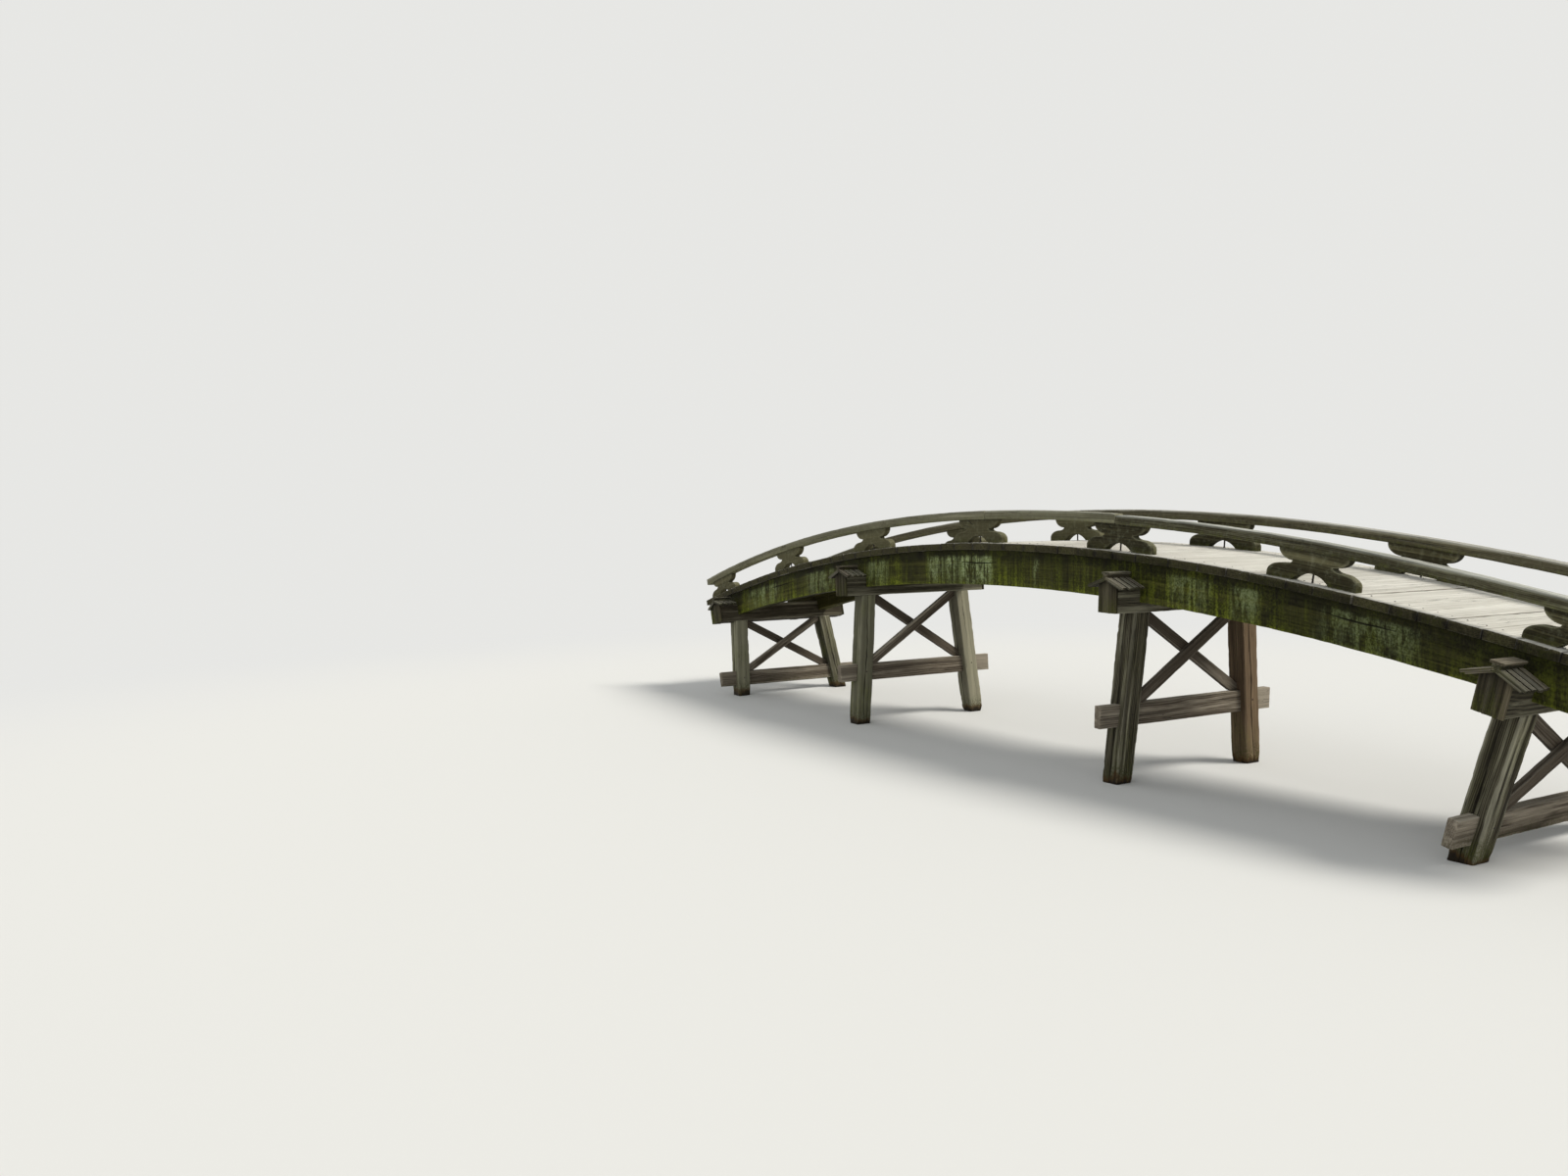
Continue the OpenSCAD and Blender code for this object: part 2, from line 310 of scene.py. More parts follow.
def outline(u, half_v, half_w, middle, size, radii, columns, checks, seed):
    """Lines that run along a timber, in order around its section.

    Each has its places in v and w, the angle that it faces, how much it belongs to an arris, and a
    crack's depth and darkness there.
    """
    nothing = np.zeros_like(u)
    lines, rounding = [], []
    for k in range(4):
        wear = 1 + 0.55 * drift(u, 5, seed + 11 * k) + 0.25 * drift(u, 23, seed + 13 * k)
        rounding.append(np.clip(radii[k] * wear, 0.0012, 0.45 * min(size)))

    def corner(k, angle):
        sv, sw = CORNERS[k]
        r = rounding[k]
        return np.stack([sv * (half_v - r) + r * math.cos(angle),
                         middle + sw * (half_w - r) + r * math.sin(angle)], -1)

    for k in range(4):
        steps = 3 if radii[k] > WIDE_ARRIS else 2
        for step in range(steps + 1):
            angle = math.radians(90 * (k - 1 + step / steps))
            lines.append((corner(k, angle), angle, 1.0, nothing, nothing))
        start, end = corner(k, angle), corner((k + 1) % 4, angle)
        across, count = size[(k + 1) % 2], columns[k % len(columns)]
        guard = min(GUARD / across, 0.1)
        stops = [(nothing, nothing, nothing), (nothing + guard, nothing, nothing)]
        for check in sorted((c for c in checks if c.face == k), key=lambda c: c.across):
            strength, centre = check.strength(u), check.centre(u, seed)
            lip = (0.0004 + check.width * strength) / across
            depth, dark = check.depth * strength, check.dark * strength
            stops += [(centre - 2.5 * lip, nothing, nothing), (centre - lip, nothing, dark),
                      (centre, depth, nothing),
                      (centre + lip, nothing, dark), (centre + 2.5 * lip, nothing, nothing)]
        stops += [(nothing + 1 - guard, nothing, nothing), (nothing + 1, nothing, nothing)]
        for n, (at, depth, dark) in enumerate(stops[:-1]):
            if n:
                arris = 0.35 if n == 1 else 0.0
                lines.append((start + (end - start) * at[:, None], angle, arris, depth, dark))
            room = stops[n + 1][0] - at
            wide = float(np.mean(room))
            more = int(round(wide * count)) - 1 if wide > 0.06 else 0
            for step in range(1, more + 1):
                t = at + room * step / (more + 1)
                lines.append((start + (end - start) * t[:, None], angle, 0.0, nothing, nothing))
    return lines


def close_ends(length, section, middle, split, rough, shift, torn, seed):
    """Rings that close a timber's two ends, each round a slightly sunken middle.

    Gives their points, how dark a crack is at each, and the quads and triangles, which join on the
    timber's first and last rows.
    """
    around = split.shape[1]
    index = np.arange(split.size).reshape(split.shape)
    count = split.size
    points, splits, quads, triangles = [], [], [], []
    for row, sign in ((0, -1), (-1, 1)):
        tip = np.array([0.0 if row == 0 else length, 0.0, middle[row]])
        before = index[row]
        for scale in END_RINGS:
            ring = tip + (np.insert(section[row], 0, tip[0], axis=1) - tip) * scale
            dish = 0.6 * rough * noise(ring + shift, (1, 60, 60), seed + 4, 2) - END_DISH
            ring[:, 0] += sign * dish * (scale < 0.95) + torn(ring)
            after = count + np.arange(around)
            quads.append(band(*(before, after)[::sign]))
            points.append(ring)
            splits.append(split[row] * max(0.0, 1.6 * scale - 0.6))
            before, count = after, count + around
        triangles.append(np.stack([np.full(around, count), *(before, np.roll(before, -1))[::sign]], -1))
        points.append([tip - (sign * END_MIDDLE, 0, 0)])
        splits.append([0.0])
        count += 1
    return points, splits, quads, triangles


def timber(build, place, length, width, height, seed, rows=40, columns=(8, 8), radius=0.005, rough=0.0012,
           checks=(), wave=0.0, worn_end=0.0, ragged=0.0, paint=None, span=None, tone=None, warm=None):
    """Adds a squared timber with worn arrises, raised grain, drying cracks and rounded ends.

    Its length runs from 0 along u, width is across it in v and height in w, both about 0, unless
    span(u) gives the lowest and highest w. place maps those to the frame. columns says how many faces
    lie across each side, and paint(local, world) gives painted values of its own.
    """
    random = np.random.default_rng(seed)
    radii = np.broadcast_to(np.asarray(radius, float), (4,))
    lip = min(0.003, radii.min())
    u = np.linspace(lip, length - lip, rows)
    low, high = span(u) if span else (np.full(rows, -height / 2), np.full(rows, height / 2))
    middle, half_w, half_v = (low + high) / 2, (high - low) / 2, np.full(rows, width / 2)
    if worn_end:
        waste = worn_end * np.exp(-u / WORN_REACH) * (1 + 0.5 * drift(u, 30, seed + 9))
        half_v, half_w = half_v - waste, half_w - waste
    middle = middle + wave * drift(u, 1.1, seed + 5)
    lines = outline(u, half_v, half_w, middle, (width, height), radii, columns, checks, seed)
    section, angle, edge, crack, dark = (np.stack(values, -1) for values in zip(*lines))
    section = np.moveaxis(section, -1, 1)
    normal = np.stack([np.cos(angle), np.sin(angle)], -1)
    edge = np.broadcast_to(edge, crack.shape)

    def with_u(section):
        return np.concatenate([np.broadcast_to(u[:, None, None], crack.shape + (1,)), section], -1)
    shift = random.uniform(0, 40, 3)
    sample = with_u(section) + shift
    coarse, fine = noise(sample, (2.5, 28, 28), seed + 1, 3), noise(sample, (14, 90, 90), seed + 2)
    relief = rough * coarse + 0.5 * rough * fine
    chips = np.clip(noise(sample, (16, 20, 20), seed + 3) - 0.35, 0, 1) * edge * radii.mean() * 0.9
    section = section + normal * (relief - chips - crack)[..., None]
    local = with_u(section)

    def torn(points):
        """How far a ragged end stands in or out at its points."""
        return ragged * noise(points * (0, 1, 1) + shift, (1, 22, 60), seed + 6, 3)
    for row in (0, -1):
        local[row, :, 0] += torn(local[row])
    split = np.clip(crack / BLACK_DEPTH + dark, 0, 1)
    points, splits, quads, triangles = close_ends(length, section, middle, split, rough, shift, torn, seed)
    points = np.concatenate([local.reshape(-1, 3), *points])
    index = np.arange(split.size).reshape(split.shape)
    quads = np.concatenate([band(index[:-1], index[1:]), *quads])
    world = place(points)
    layers = {"tone": random.uniform(-1, 1) if tone is None else tone,
              "warm": random.uniform(-0.2, 0.16) if warm is None else warm,
              "edge": np.pad(edge.reshape(-1), (0, len(points) - edge.size))}
    painted = paint(points, world) if paint else {}
    layers["crack"] = np.maximum(np.concatenate([split.reshape(-1), *splits]), painted.pop("crack", 0.0))
    layers.update(painted)
    build.add(world, points + shift, quads, np.concatenate(triangles), **layers)


def single(name, material, slot, node, *sizes, **look):
    """A piece that is one timber and stands for one CAD node."""
    build = Build()
    timber(build, *sizes, **look)
    build.finish(name, material, slot, [node])


def lathe(build, place, profile, sides):
    """A turned body that stands on its base: (radius, height) pairs from the base up."""
    turn = np.arange(sides) / sides * 2 * np.pi
    rings = [np.stack([r * np.cos(turn), r * np.sin(turn), np.full(sides, z)], -1)
             for r, z in profile if r > 0]
    centres = [[[0, 0, profile[0][1]], [0, 0, profile[-1][1]]]]
    points = np.concatenate(rings + centres)
    index = np.arange(len(rings) * sides).reshape(len(rings), sides)
    first, last = index[0], index[-1]
    base = np.full(sides, len(rings) * sides)
    triangles = np.concatenate([np.stack([base, np.roll(first, -1), first], -1),
                                np.stack([base + 1, last, np.roll(last, -1)], -1)])
    build.add(straight(place)(points), points, band(index[:-1], index[1:]), triangles)


# Materials

def shade(red, green, blue):
    """A colour as a screen shows it, from 0 to 255, turned into the values that shaders take."""
    def channel(value):
        value /= 255
        return value / 12.92 if value <= 0.04045 else ((value + 0.055) / 1.055) ** 2.4
    return (channel(red), channel(green), channel(blue), 1.0)


FLECK = shade(140, 144, 120)
MOSS_DARK, MOSS_LIGHT = shade(50, 54, 11), shade(108, 116, 34)
LICHEN_PALE, LICHEN_GREEN = shade(146, 158, 116), shade(88, 97, 44)
CRACK_DARK = shade(15, 13, 10)
PLANK_END_DARK = shade(36, 34, 22)
STAIN_DARK = shade(19, 17, 10)
DRIP_PALE = shade(112, 112, 88)
ALGAE = shade(50, 53, 18)
WATERLINE_BROWN = shade(66, 46, 22)
WARM_TINT, COOL_TINT = shade(178, 118, 92), shade(116, 128, 118)


class Value:
    """A node's output, which adds, subtracts and multiplies as numbers do."""

    def __init__(self, graph, socket):
        self.graph, self.socket = graph, socket

    def __add__(self, other):
        return self.graph.maths("ADD", self, other)

    def __sub__(self, other):
        return self.graph.maths("SUBTRACT", self, other)

    def __mul__(self, other):
        return self.graph.maths("MULTIPLY", self, other)

    def __abs__(self):
        return self.graph.maths("ABSOLUTE", self)


class Graph:
    """Short calls for building the nodes of a material or a world."""

    def __init__(self, owner):
        owner.use_nodes = True
        self.owner, self.tree, self.colour = owner, owner.node_tree, None
        self.tree.nodes.clear()

    def add(self, kind, inputs, output=0, **settings):
        """Adds a node and gives one of its outputs, if it has any."""
        node = self.tree.nodes.new("ShaderNode" + kind)
        for key, value in settings.items():
            setattr(node, key, value)
        for key, value in inputs.items():
            if isinstance(value, Value):
                self.tree.links.new(value.socket, node.inputs[key])
            else:
                node.inputs[key].default_value = value
        return Value(self, node.outputs[output]) if node.outputs else None

    def attribute(self, name, output="Fac"):
        """Values painted on the mesh."""
        return self.add("Attribute", {}, output, attribute_name=name)

    def part(self, vector, axis):
        """One of a vector's three numbers."""
        return self.add("SeparateXYZ", {"Vector": vector}, axis)

    def vector(self, operation, first, second=(0, 0, 0), output="Vector"):
        """Sum, difference, product or length of vectors."""
        return self.add("VectorMath", {0: first, 1: second}, output, operation=operation)

    def stretch(self, vector, scale, shift=(0, 0, 0)):
        """A vector scaled along each axis and shifted."""
        return self.add("Mapping", {"Vector": vector, "Scale": scale, "Location": shift})

    def noise(self, vector, scale, detail=4.0, rough=0.55, distortion=0.0, shift=(0, 0, 0)):
        """Cloudy noise about 0.5, with scale periods a metre along each axis."""
        inputs = {"Vector": self.stretch(vector, scale, shift), "Scale": 1.0, "Detail": detail,
                  "Roughness": rough, "Distortion": distortion}
        return self.add("TexNoise", inputs)

    def level(self, value, low, high, new_low=0.0, new_high=1.0):
        """A smooth step from one value to another."""
        inputs = {"Value": value, "From Min": low, "From Max": high, "To Min": new_low, "To Max": new_high}
        return self.add("MapRange", inputs, interpolation_type="SMOOTHSTEP")

    def maths(self, operation, first, second=0.0, clamp=False):
        """A sum or the like of two values."""
        return self.add("Math", {0: first, 1: second}, operation=operation, use_clamp=clamp)

    def mix(self, factor, first, second, blend="MIX"):
        """Two colours blended by a factor."""
        return self.add("Mix", {0: factor, 6: first, 7: second}, 2, data_type="RGBA", blend_type=blend)

    def coat(self, factor, colour, blend="MIX"):
        """Lays a colour over what the surface shows so far."""
        self.colour = self.mix(factor, self.colour, colour, blend)

    def shown(self):
        """1 for the rays that carry a surface straight or by a gloss to the camera, and 0 for others."""
        camera_ray = self.add("LightPath", {}, "Is Camera Ray")
        return self.maths("MAXIMUM", camera_ray, self.add("LightPath", {}, "Is Glossy Ray"))

    def finish(self, roughness, height, depth, strength=1.0, **constants):
        """Ends a material with its surface."""
        bump = self.add("Bump", {"Height": height, "Distance": depth, "Strength": strength})
        inputs = {"Base Color": self.colour, "Roughness": roughness, "Normal": bump, **constants}
        self.add("OutputMaterial", {"Surface": self.add("BsdfPrincipled", inputs)})
        return self.owner


def scar(g, grain, x, z, turn, reach, half_width):
    """A short wandering split, at a place on the timbers whose grain is counted from their own middle."""
    away = g.vector("SUBTRACT", grain, (x, 0.0, z))
    along = g.vector("DOT_PRODUCT", away, (math.cos(turn), 0.0, math.sin(turn)), "Value")
    off = g.vector("DOT_PRODUCT", away, (-math.sin(turn), 0.0, math.cos(turn)), "Value")
    off = abs(off + (g.noise(grain, (28, 28, 28), 3.0) - 0.5) * 0.03)
    taper = g.level(abs(along), 0.6 * reach, reach, 1.0, 0.0)
    return g.level(off, 0.5 * half_width, half_width, 1.0, 0.0) * taper


def weathered(name, light, middle, dark, top, under, growth=0.0, top_amount=0.8, drips=0.0, ends=None,
              flecks=0.0, relief_strength=0.6, scars=(), rings=0.2):
    """Weathered timber: raised grain, hairline cracks, tops paler from bleaching and painted light,
    undersides darker as painted shade, moss, lichen and wet feet.
    """
    light, middle, dark, top, under = (shade(*colour) for colour in (light, middle, dark, top, under))
    g = Graph(bpy.data.materials.new(name))
    grain, tone, warm = g.attribute("grain", "Vector"), g.attribute("tone"), g.attribute("warm")
    normal = g.add("NewGeometry", {}, "Normal")
    world = g.add("TexCoord", {}, "Object")
    facing, height = g.part(normal, "Z"), g.part(world, "Z")

    # Grain: growth rings, fibres, threads, streaks and hairline cracks along a gently bent length
    warp = g.noise(grain, (1.6, 7, 7), 2.0, 0.5, 0.0, (11, 2, 5))
    bent = g.vector("ADD", grain, g.add("CombineXYZ", {"X": 0.0, "Y": warp * 0.035, "Z": warp * 0.022}))
    wave = {"Vector": g.stretch(bent, (0.0, 1, 1), (0.0, 0.07, -0.11)), "Scale": 26.0, "Distortion": 2.2,
            "Detail": 3.0, "Detail Scale": 1.3, "Detail Roughness": 0.6}
    rings_seen = g.add("TexWave", wave, "Fac", wave_type="RINGS", rings_direction="X", wave_profile="SIN")
    fibres = g.noise(bent, (1.3, 85, 85), 7.0, 0.66)
    threads = g.noise(bent, (5, 420, 420), 3.0, 0.6)
    streaked = g.noise(bent, (0.55, 17, 17), 5.0, 0.62, 0.0, (7, 3, 1))
    drifts = g.noise(grain, (0.6, 5, 5), 4.0, 0.6)
    hair = g.noise(bent, (0.8, 38, 38), 2.0, 0.45, 0.0, (3, 5, 9))
    hair_line = g.level(abs(hair - 0.5), 0.0, 0.011, 1.0, 0.0) * g.level(drifts, 0.46, 0.6)

    # Bare wood, paler on its arrises, paler on top from bleaching and painted light, and darker beneath as
    # painted shade
    figure = fibres * (1 - rings) + rings_seen * rings
    g.colour = dark
    g.coat(g.level(figure, 0.36, 0.62), middle)
    g.coat(g.level(streaked, 0.5, 0.7), light)
    g.coat(g.level(streaked, 0.34, 0.48, 0.6, 0.0), dark)
    g.coat(g.level(threads, 0.36, 0.5, 0.45, 0.0), dark)
    bleached_and_lit = g.mix(g.level(figure, 0.3, 0.64), middle, top)
    bleached_and_lit = g.mix(g.level(streaked, 0.35, 0.55, 0.35, 0.0), bleached_and_lit, middle)
    g.coat(g.level(facing, 0.25, 0.85, 0.0, top_amount), bleached_and_lit)
    g.coat(g.level(facing, -0.85, -0.35, 0.8, 0.0), under)
    g.coat(g.attribute("edge") * g.level(streaked, 0.4, 0.62, 0.1, 0.5), top)
    # The tone lightens or darkens each timber: its own tone, with painted light and shade set for some pieces
    g.coat(g.maths("MULTIPLY", g.maths("MAXIMUM", tone, 0.0), 0.25, clamp=True), light)
    g.coat(g.level(tone, -2.0, 0.0, 0.6, 0.0), dark)
    g.coat(g.maths("MAXIMUM", warm, 0.0), WARM_TINT, "SOFT_LIGHT")
    g.coat(g.maths("MAXIMUM", warm * -1.0, 0.0), COOL_TINT, "SOFT_LIGHT")
    # Ends that face across the bridge are darker: end grain, with painted shade on the plank ends
    if ends:
        end_grain_and_shade = g.mix(g.level(figure, 0.3, 0.7), PLANK_END_DARK, shade(*ends))
        g.coat(g.level(abs(g.part(normal, "Y")), 0.6, 0.95), end_grain_and_shade)

    # Rain marks and stains that run down
    streaks = g.noise(world, (34, 34, 1.8), 5.0, 0.65)
    fine_streaks = g.noise(world, (60, 60, 5), 5.0, 0.65, 0.4, (5, 5, 5))
    if drips:
        upright = g.level(abs(facing), 0.3, 0.7, 1.0, 0.0)
        g.coat(upright * g.level(fine_streaks, 0.52, 0.75, 0.0, 0.5 * drips), DRIP_PALE)
        g.coat(upright * g.level(streaks, 0.30, 0.46, drips, 0.0), STAIN_DARK)
    # The stain layer holds real stains and dirt, and shade painted under overhangs and on shaded parts
    g.coat(g.attribute("stain") * g.level(streaks, 0.34, 0.56, 0.6, 1.0), STAIN_DARK)

    # Moss and lichen in ragged patches
    speckle = g.noise(world, (75, 75, 60), 5.0, 0.7)
    spread = g.noise(world, (6, 6, 5), 5.0, 0.62)
    ragged_moss = spread * 0.6 + speckle * 0.2 + streaks * 0.2
    moss = g.maths("MULTIPLY", g.attribute("moss") + growth, g.level(ragged_moss, 0.38, 0.6), clamp=True)
    tufts = speckle * 0.5 + streaks * 0.5
    g.coat(moss, g.mix(g.level(tufts, 0.42, 0.6), MOSS_DARK, MOSS_LIGHT))
    crust = g.noise(world, (13, 13, 5), 6.0, 0.72, 0.3, (4, 4, 4)) * 0.62 + streaks * 0.38
    lichen = g.maths("MULTIPLY", g.attribute("lichen"), g.level(crust, 0.43, 0.56), clamp=True)
    g.coat(lichen, g.mix(g.level(speckle, 0.36, 0.6), LICHEN_GREEN, LICHEN_PALE))

    # Feet in the water: algae, a brown band and wet wood
    waterline = height + (spread - 0.5) * 0.2 + (streaks - 0.5) * 0.12
    g.coat(g.level(waterline, 0.07, 0.24, 0.7, 0.0) * g.level(speckle, 0.42, 0.58), ALGAE)
    g.coat(g.level(waterline, 0.04, 0.085, 0.8, 0.0), WATERLINE_BROWN)
    wet = g.level(waterline, 0.015, 0.05, 0.85, 0.0)
    g.coat(wet, STAIN_DARK)

    # Flecks, and cracks of every kind over all the rest
    if flecks:
        spots = g.noise(world, (26, 26, 26), 6.0, 0.7, 0.2, (8, 8, 8))
        g.coat(g.level(spots, 0.48, 0.7, 0.0, flecks * 0.5), FLECK)
        g.coat(g.level(spots, 0.3, 0.46, flecks * 0.6, 0.0), dark)
        curve = g.noise(grain, (6, 6, 9), 2.0, 0.5, 0.3, (2, 6, 4))
        curve_line = g.level(abs(curve - 0.5), 0.004, 0.012, 1.0, 0.0)
        g.coat(curve_line * g.level(drifts, 0.53, 0.58) * flecks, CRACK_DARK)
    split = g.attribute("crack")
    for x, z, turn, reach, half_width in scars:
        split = g.maths("MAXIMUM", split, scar(g, grain, x, z, math.radians(turn), reach, half_width))
    g.coat(hair_line * 0.8, CRACK_DARK)
    g.coat(split, CRACK_DARK)

    # Relief and gloss
    relief = fibres * 0.6 + rings_seen * (0.9 * rings) + threads * 0.2 - hair_line * 0.5
    relief = relief + (moss + lichen) * (speckle * 0.5)
    roughness = g.level(figure, 0.3, 0.7, 0.92, 0.74) + wet * -0.45
    return g.finish(roughness, relief, 0.0035, relief_strength, **{"Specular IOR Level": 0.1})


def rusty_iron():
    """Old iron: black-brown scale with rust bloom."""
    g = Graph(bpy.data.materials.new("rusty_iron"))
    bloom = g.noise(g.add("TexCoord", {}, "Object"), (160, 160, 160), 6.0, 0.65)
    g.colour = shade(27, 25, 23)
    g.coat(g.level(bloom, 0.46, 0.66), shade(70, 50, 36))
    return g.finish(g.level(bloom, 0.35, 0.65, 0.5, 0.9), bloom, 0.001, 0.8, Metallic=0.35)


# Each timber's colours are those of its light, middle and dark streaks, its tops, which are bleached and
# carry painted light, and its undersides, which carry painted shade
DECK = weathered(
    "deck_timber", (208, 205, 194), (180, 176, 165), (122, 116, 102), (230, 228, 219), (72, 66, 52),
    growth=-0.2, top_amount=0.9, ends=(82, 77, 55), rings=0.1)
GIRDER = weathered(
    "girder_timber", (84, 82, 40), (56, 55, 25), (28, 27, 11), (112, 112, 62), (38, 34, 22),
    growth=0.04, drips=0.5)
TRESTLE = weathered(
    "trestle_timber", (158, 154, 132), (96, 91, 74), (36, 32, 25), (186, 182, 162), (54, 49, 38),
    relief_strength=0.7)
TIE = weathered(
    "tie_timber", (164, 156, 140), (118, 110, 96), (66, 59, 50), (186, 180, 164), (60, 54, 44),
    relief_strength=0.4)
RAIL = weathered(
    "rail_timber", (134, 131, 108), (90, 86, 67), (48, 44, 31), (206, 206, 198), (44, 40, 28),
    flecks=0.3, relief_strength=0.5, rings=0.12)
SUPPORT = weathered(
    "support_timber", (100, 96, 70), (66, 62, 42), (36, 33, 21), (146, 144, 118), (30, 27, 18),
    flecks=0.35, relief_strength=0.5, rings=0.05,
    scars=((-0.108, 0.198, -30, 0.06, 0.005), (-0.175, 0.165, -8, 0.05, 0.003)))
ROOF = weathered(
    "roof_timber", (116, 112, 94), (72, 69, 54), (36, 33, 24), (154, 150, 136), (28, 25, 18), rings=0.12)
COVER = weathered(
    "cover_timber", (92, 86, 70), (57, 52, 40), (29, 26, 19), (112, 105, 90), (30, 26, 20), rings=0.12)
IRON = rusty_iron()


# Girders

# Distance from the crown, half width and strength of the lichen patches and the dark drips
LICHEN_PATCHES = (
    (-4.3, 0.4, 0.6), (-2.9, 0.3, 0.6), (-1.7, 0.2, 0.5), (-0.64, 0.12, 0.8), (-0.39, 0.075, 1.1),
    (-0.01, 0.24, 1.6), (0.86, 0.03, 0.6), (2.62, 0.20, 0.35), (3.14, 0.12, 0.45), (4.15, 0.35, 0.35))
DRIPS = (
    (-3.4, 0.06, 0.6), (-2.3, 0.2, 0.5), (-1.1, 0.14, 0.6), (-0.51, 0.03, 0.9), (-0.29, 0.025, 0.9),
    (0.35, 0.02, 0.5), (0.63, 0.05, 0.6), (1.2, 0.05, 0.5), (1.75, 0.3, 0.5), (2.86, 0.06, 0.8),
    (3.4, 0.08, 0.8), (4.3, 0.3, 0.6))


def girder_paint(side):
    """Moss, lichen and drip stains on a girder, placed by their distance from the crown, with painted shade:
    a dark band under the deck's overhang, partly dirt, and the near girder's right end.
    """
    def paint(local, world):
        along = arch_angle(world) * ARCH_RADIUS
        outer = ramp(side * world[:, 1], GIRDER_MIDDLE, GIRDER_THICK / 2)
        depth = ARCH_RADIUS - arch_distance(world)
        low = ramp(depth, 0.05, 0.26)
        broad, fine = drift(along, 1.3, 71 + side, 3), drift(along, 9, 77 + side)
        arris = hump(depth, ARCH_RADIUS - edge_distance(arch_angle(world)), 0.018)
        # Painted shade over the near girder's right end, which also gets less moss there
        shaded_end = ramp(along, 2.2, 1.0) * (side == NEAR)
        lichen = sum(strength * hump(along, centre, spread, 6) for centre, spread, strength in LICHEN_PATCHES)
        lichen = lichen * outer * ramp(depth, 0.05, 0.03) * (1 - 0.7 * low ** 3)
        drips = sum(strength * hump(along, centre, spread) for centre, spread, strength in DRIPS)
        # A dark band under the deck's overhang: partly dirt, partly painted shadow of the overhang
        stain = 1.3 * np.exp(-(depth / 0.088) ** 3)
        stain = stain + drips * (1 - 0.5 * low) + 0.5 * shaded_end * (1 - 0.6 * low)
        moss = outer * (0.35 + 0.75 * low) * np.clip(0.65 + 0.9 * broad + 0.5 * fine, 0, 1.2)
        moss = (moss + 0.7 * outer * arris) * (1 - 0.45 * shaded_end) * (1 - 0.6 * np.clip(lichen, 0, 1))
        return {"moss": moss, "lichen": lichen, "stain": np.clip(stain * (0.3 + 0.7 * outer), 0, 1)}
    return paint


def girders():
    """Two arched girders, each of three lengths that meet over the inner trestles."""
    stops = (-END_ANGLE, -INNER_ANGLE, INNER_ANGLE, END_ANGLE)
    for side, face, below_top, columns in ((NEAR, 2, 0.34, (9, 2, 22, 6)), (FAR, 0, 0.66, (22, 2, 9, 6))):
        build = Build()
        bow = 0.16 * (0.5 - below_top)
        checks = [Check(face, below_top, 1.78, 2.32, 0.025, 0.0065, 0.02, 0.9, bow),
                  Check(face, 1 - below_top, 1.1, 2.9, 0.008, 0.0012, 0.04),
                  Check(2 - face, 0.5, 0.6, 2.6), Check(3, 0.5, 0.4, 3.0, 0.01)]
        for k, (start, end) in enumerate(zip(stops, stops[1:])):
            def span(u, start=start):
                return edge_distance(start + u / ARCH_RADIUS) - ARCH_RADIUS, np.zeros_like(u)
            length = (end - start) * ARCH_RADIUS - JOINT_GAP
            timber(build, along_arch(start, ARCH_RADIUS, side * GIRDER_MIDDLE), length, GIRDER_THICK,
                   GIRDER_DEPTH, 300 + 10 * k + side, rows=110, columns=columns, radius=0.007, rough=0.0018,
                   checks=checks, paint=girder_paint(side), span=span)
        name = SIDE_NAMES[side] + "_girder"
        build.finish(name + "_timber", GIRDER, "girder_timber", [name])


# Deck

# Distances from the crown of the joints that show, and the joint where one plank's near end stands out
SEEN_JOINTS = (1.63, 2.08, 2.42, 4.02, 4.29, 4.68, 4.90, 5.11)
PROUD_JOINT = 4.02
PLANK_WIDTH = 0.25
NAIL_INSET = 0.05
NAIL_HEAD = ((0.0055, 0.0), (0.0055, 0.0035), (0.0045, 0.0045), (0.0, 0.0048))


def plank_joints():
    """Distances from the crown of the joints between planks: those that show and those between them."""
    half = END_ANGLE * ARCH_RADIUS
    known = (-half, -4.55, -2.3, 0.0) + SEEN_JOINTS + (half,)
    joints = [known[0]]
    for start, end in zip(known, known[1:]):
        count = max(1, round((end - start) / PLANK_WIDTH))
        joints += [start + (end - start) * (k + 1) / count for k in range(count)]
    random = np.random.default_rng(5)
    for k in range(1, len(joints) - 1):
        if min(abs(joints[k] - value) for value in known) > 0.01:
            joints[k] += random.uniform(-0.03, 0.03)
    return joints


def deck_paint(width, bare_side):
    """Stained ends, darker toward the right as painted shade, and joints whose sides are painted dark as
    shade in the gaps, for a plank of this width, which may show a bare side near its end.
    """
    def paint(local, world):
        across, below = np.abs(world[:, 1]), DECK_TOP - arch_distance(world)
        rim = ramp(across, 0.62, 0.1)
        # The ends' stain is real and grows toward the right as painted shade
        end = ramp(across, DECK_EDGE - 0.012, 0.012) * (0.6 + 0.4 * ramp(world[:, 0], 1.2, 0.6))
        # The planks' sides in the joints are painted dark as shade in the gaps
        joint = ramp(np.abs(local[:, 1]), width / 2 - 0.0045, 0.003) * ramp(below, 0.004, 0.006)
        if bare_side:
            joint *= local[:, 0] > 0.014
        return {"moss": 0.3 * rim * ramp(below, 0, 0.02) * (1 - joint), "crack": 0.9 * joint,
                "stain": ramp(below, 0.006, 0.02) * end * 0.85, "edge": 0.4 * (1 - joint) * (below < 0.006)}
    return paint


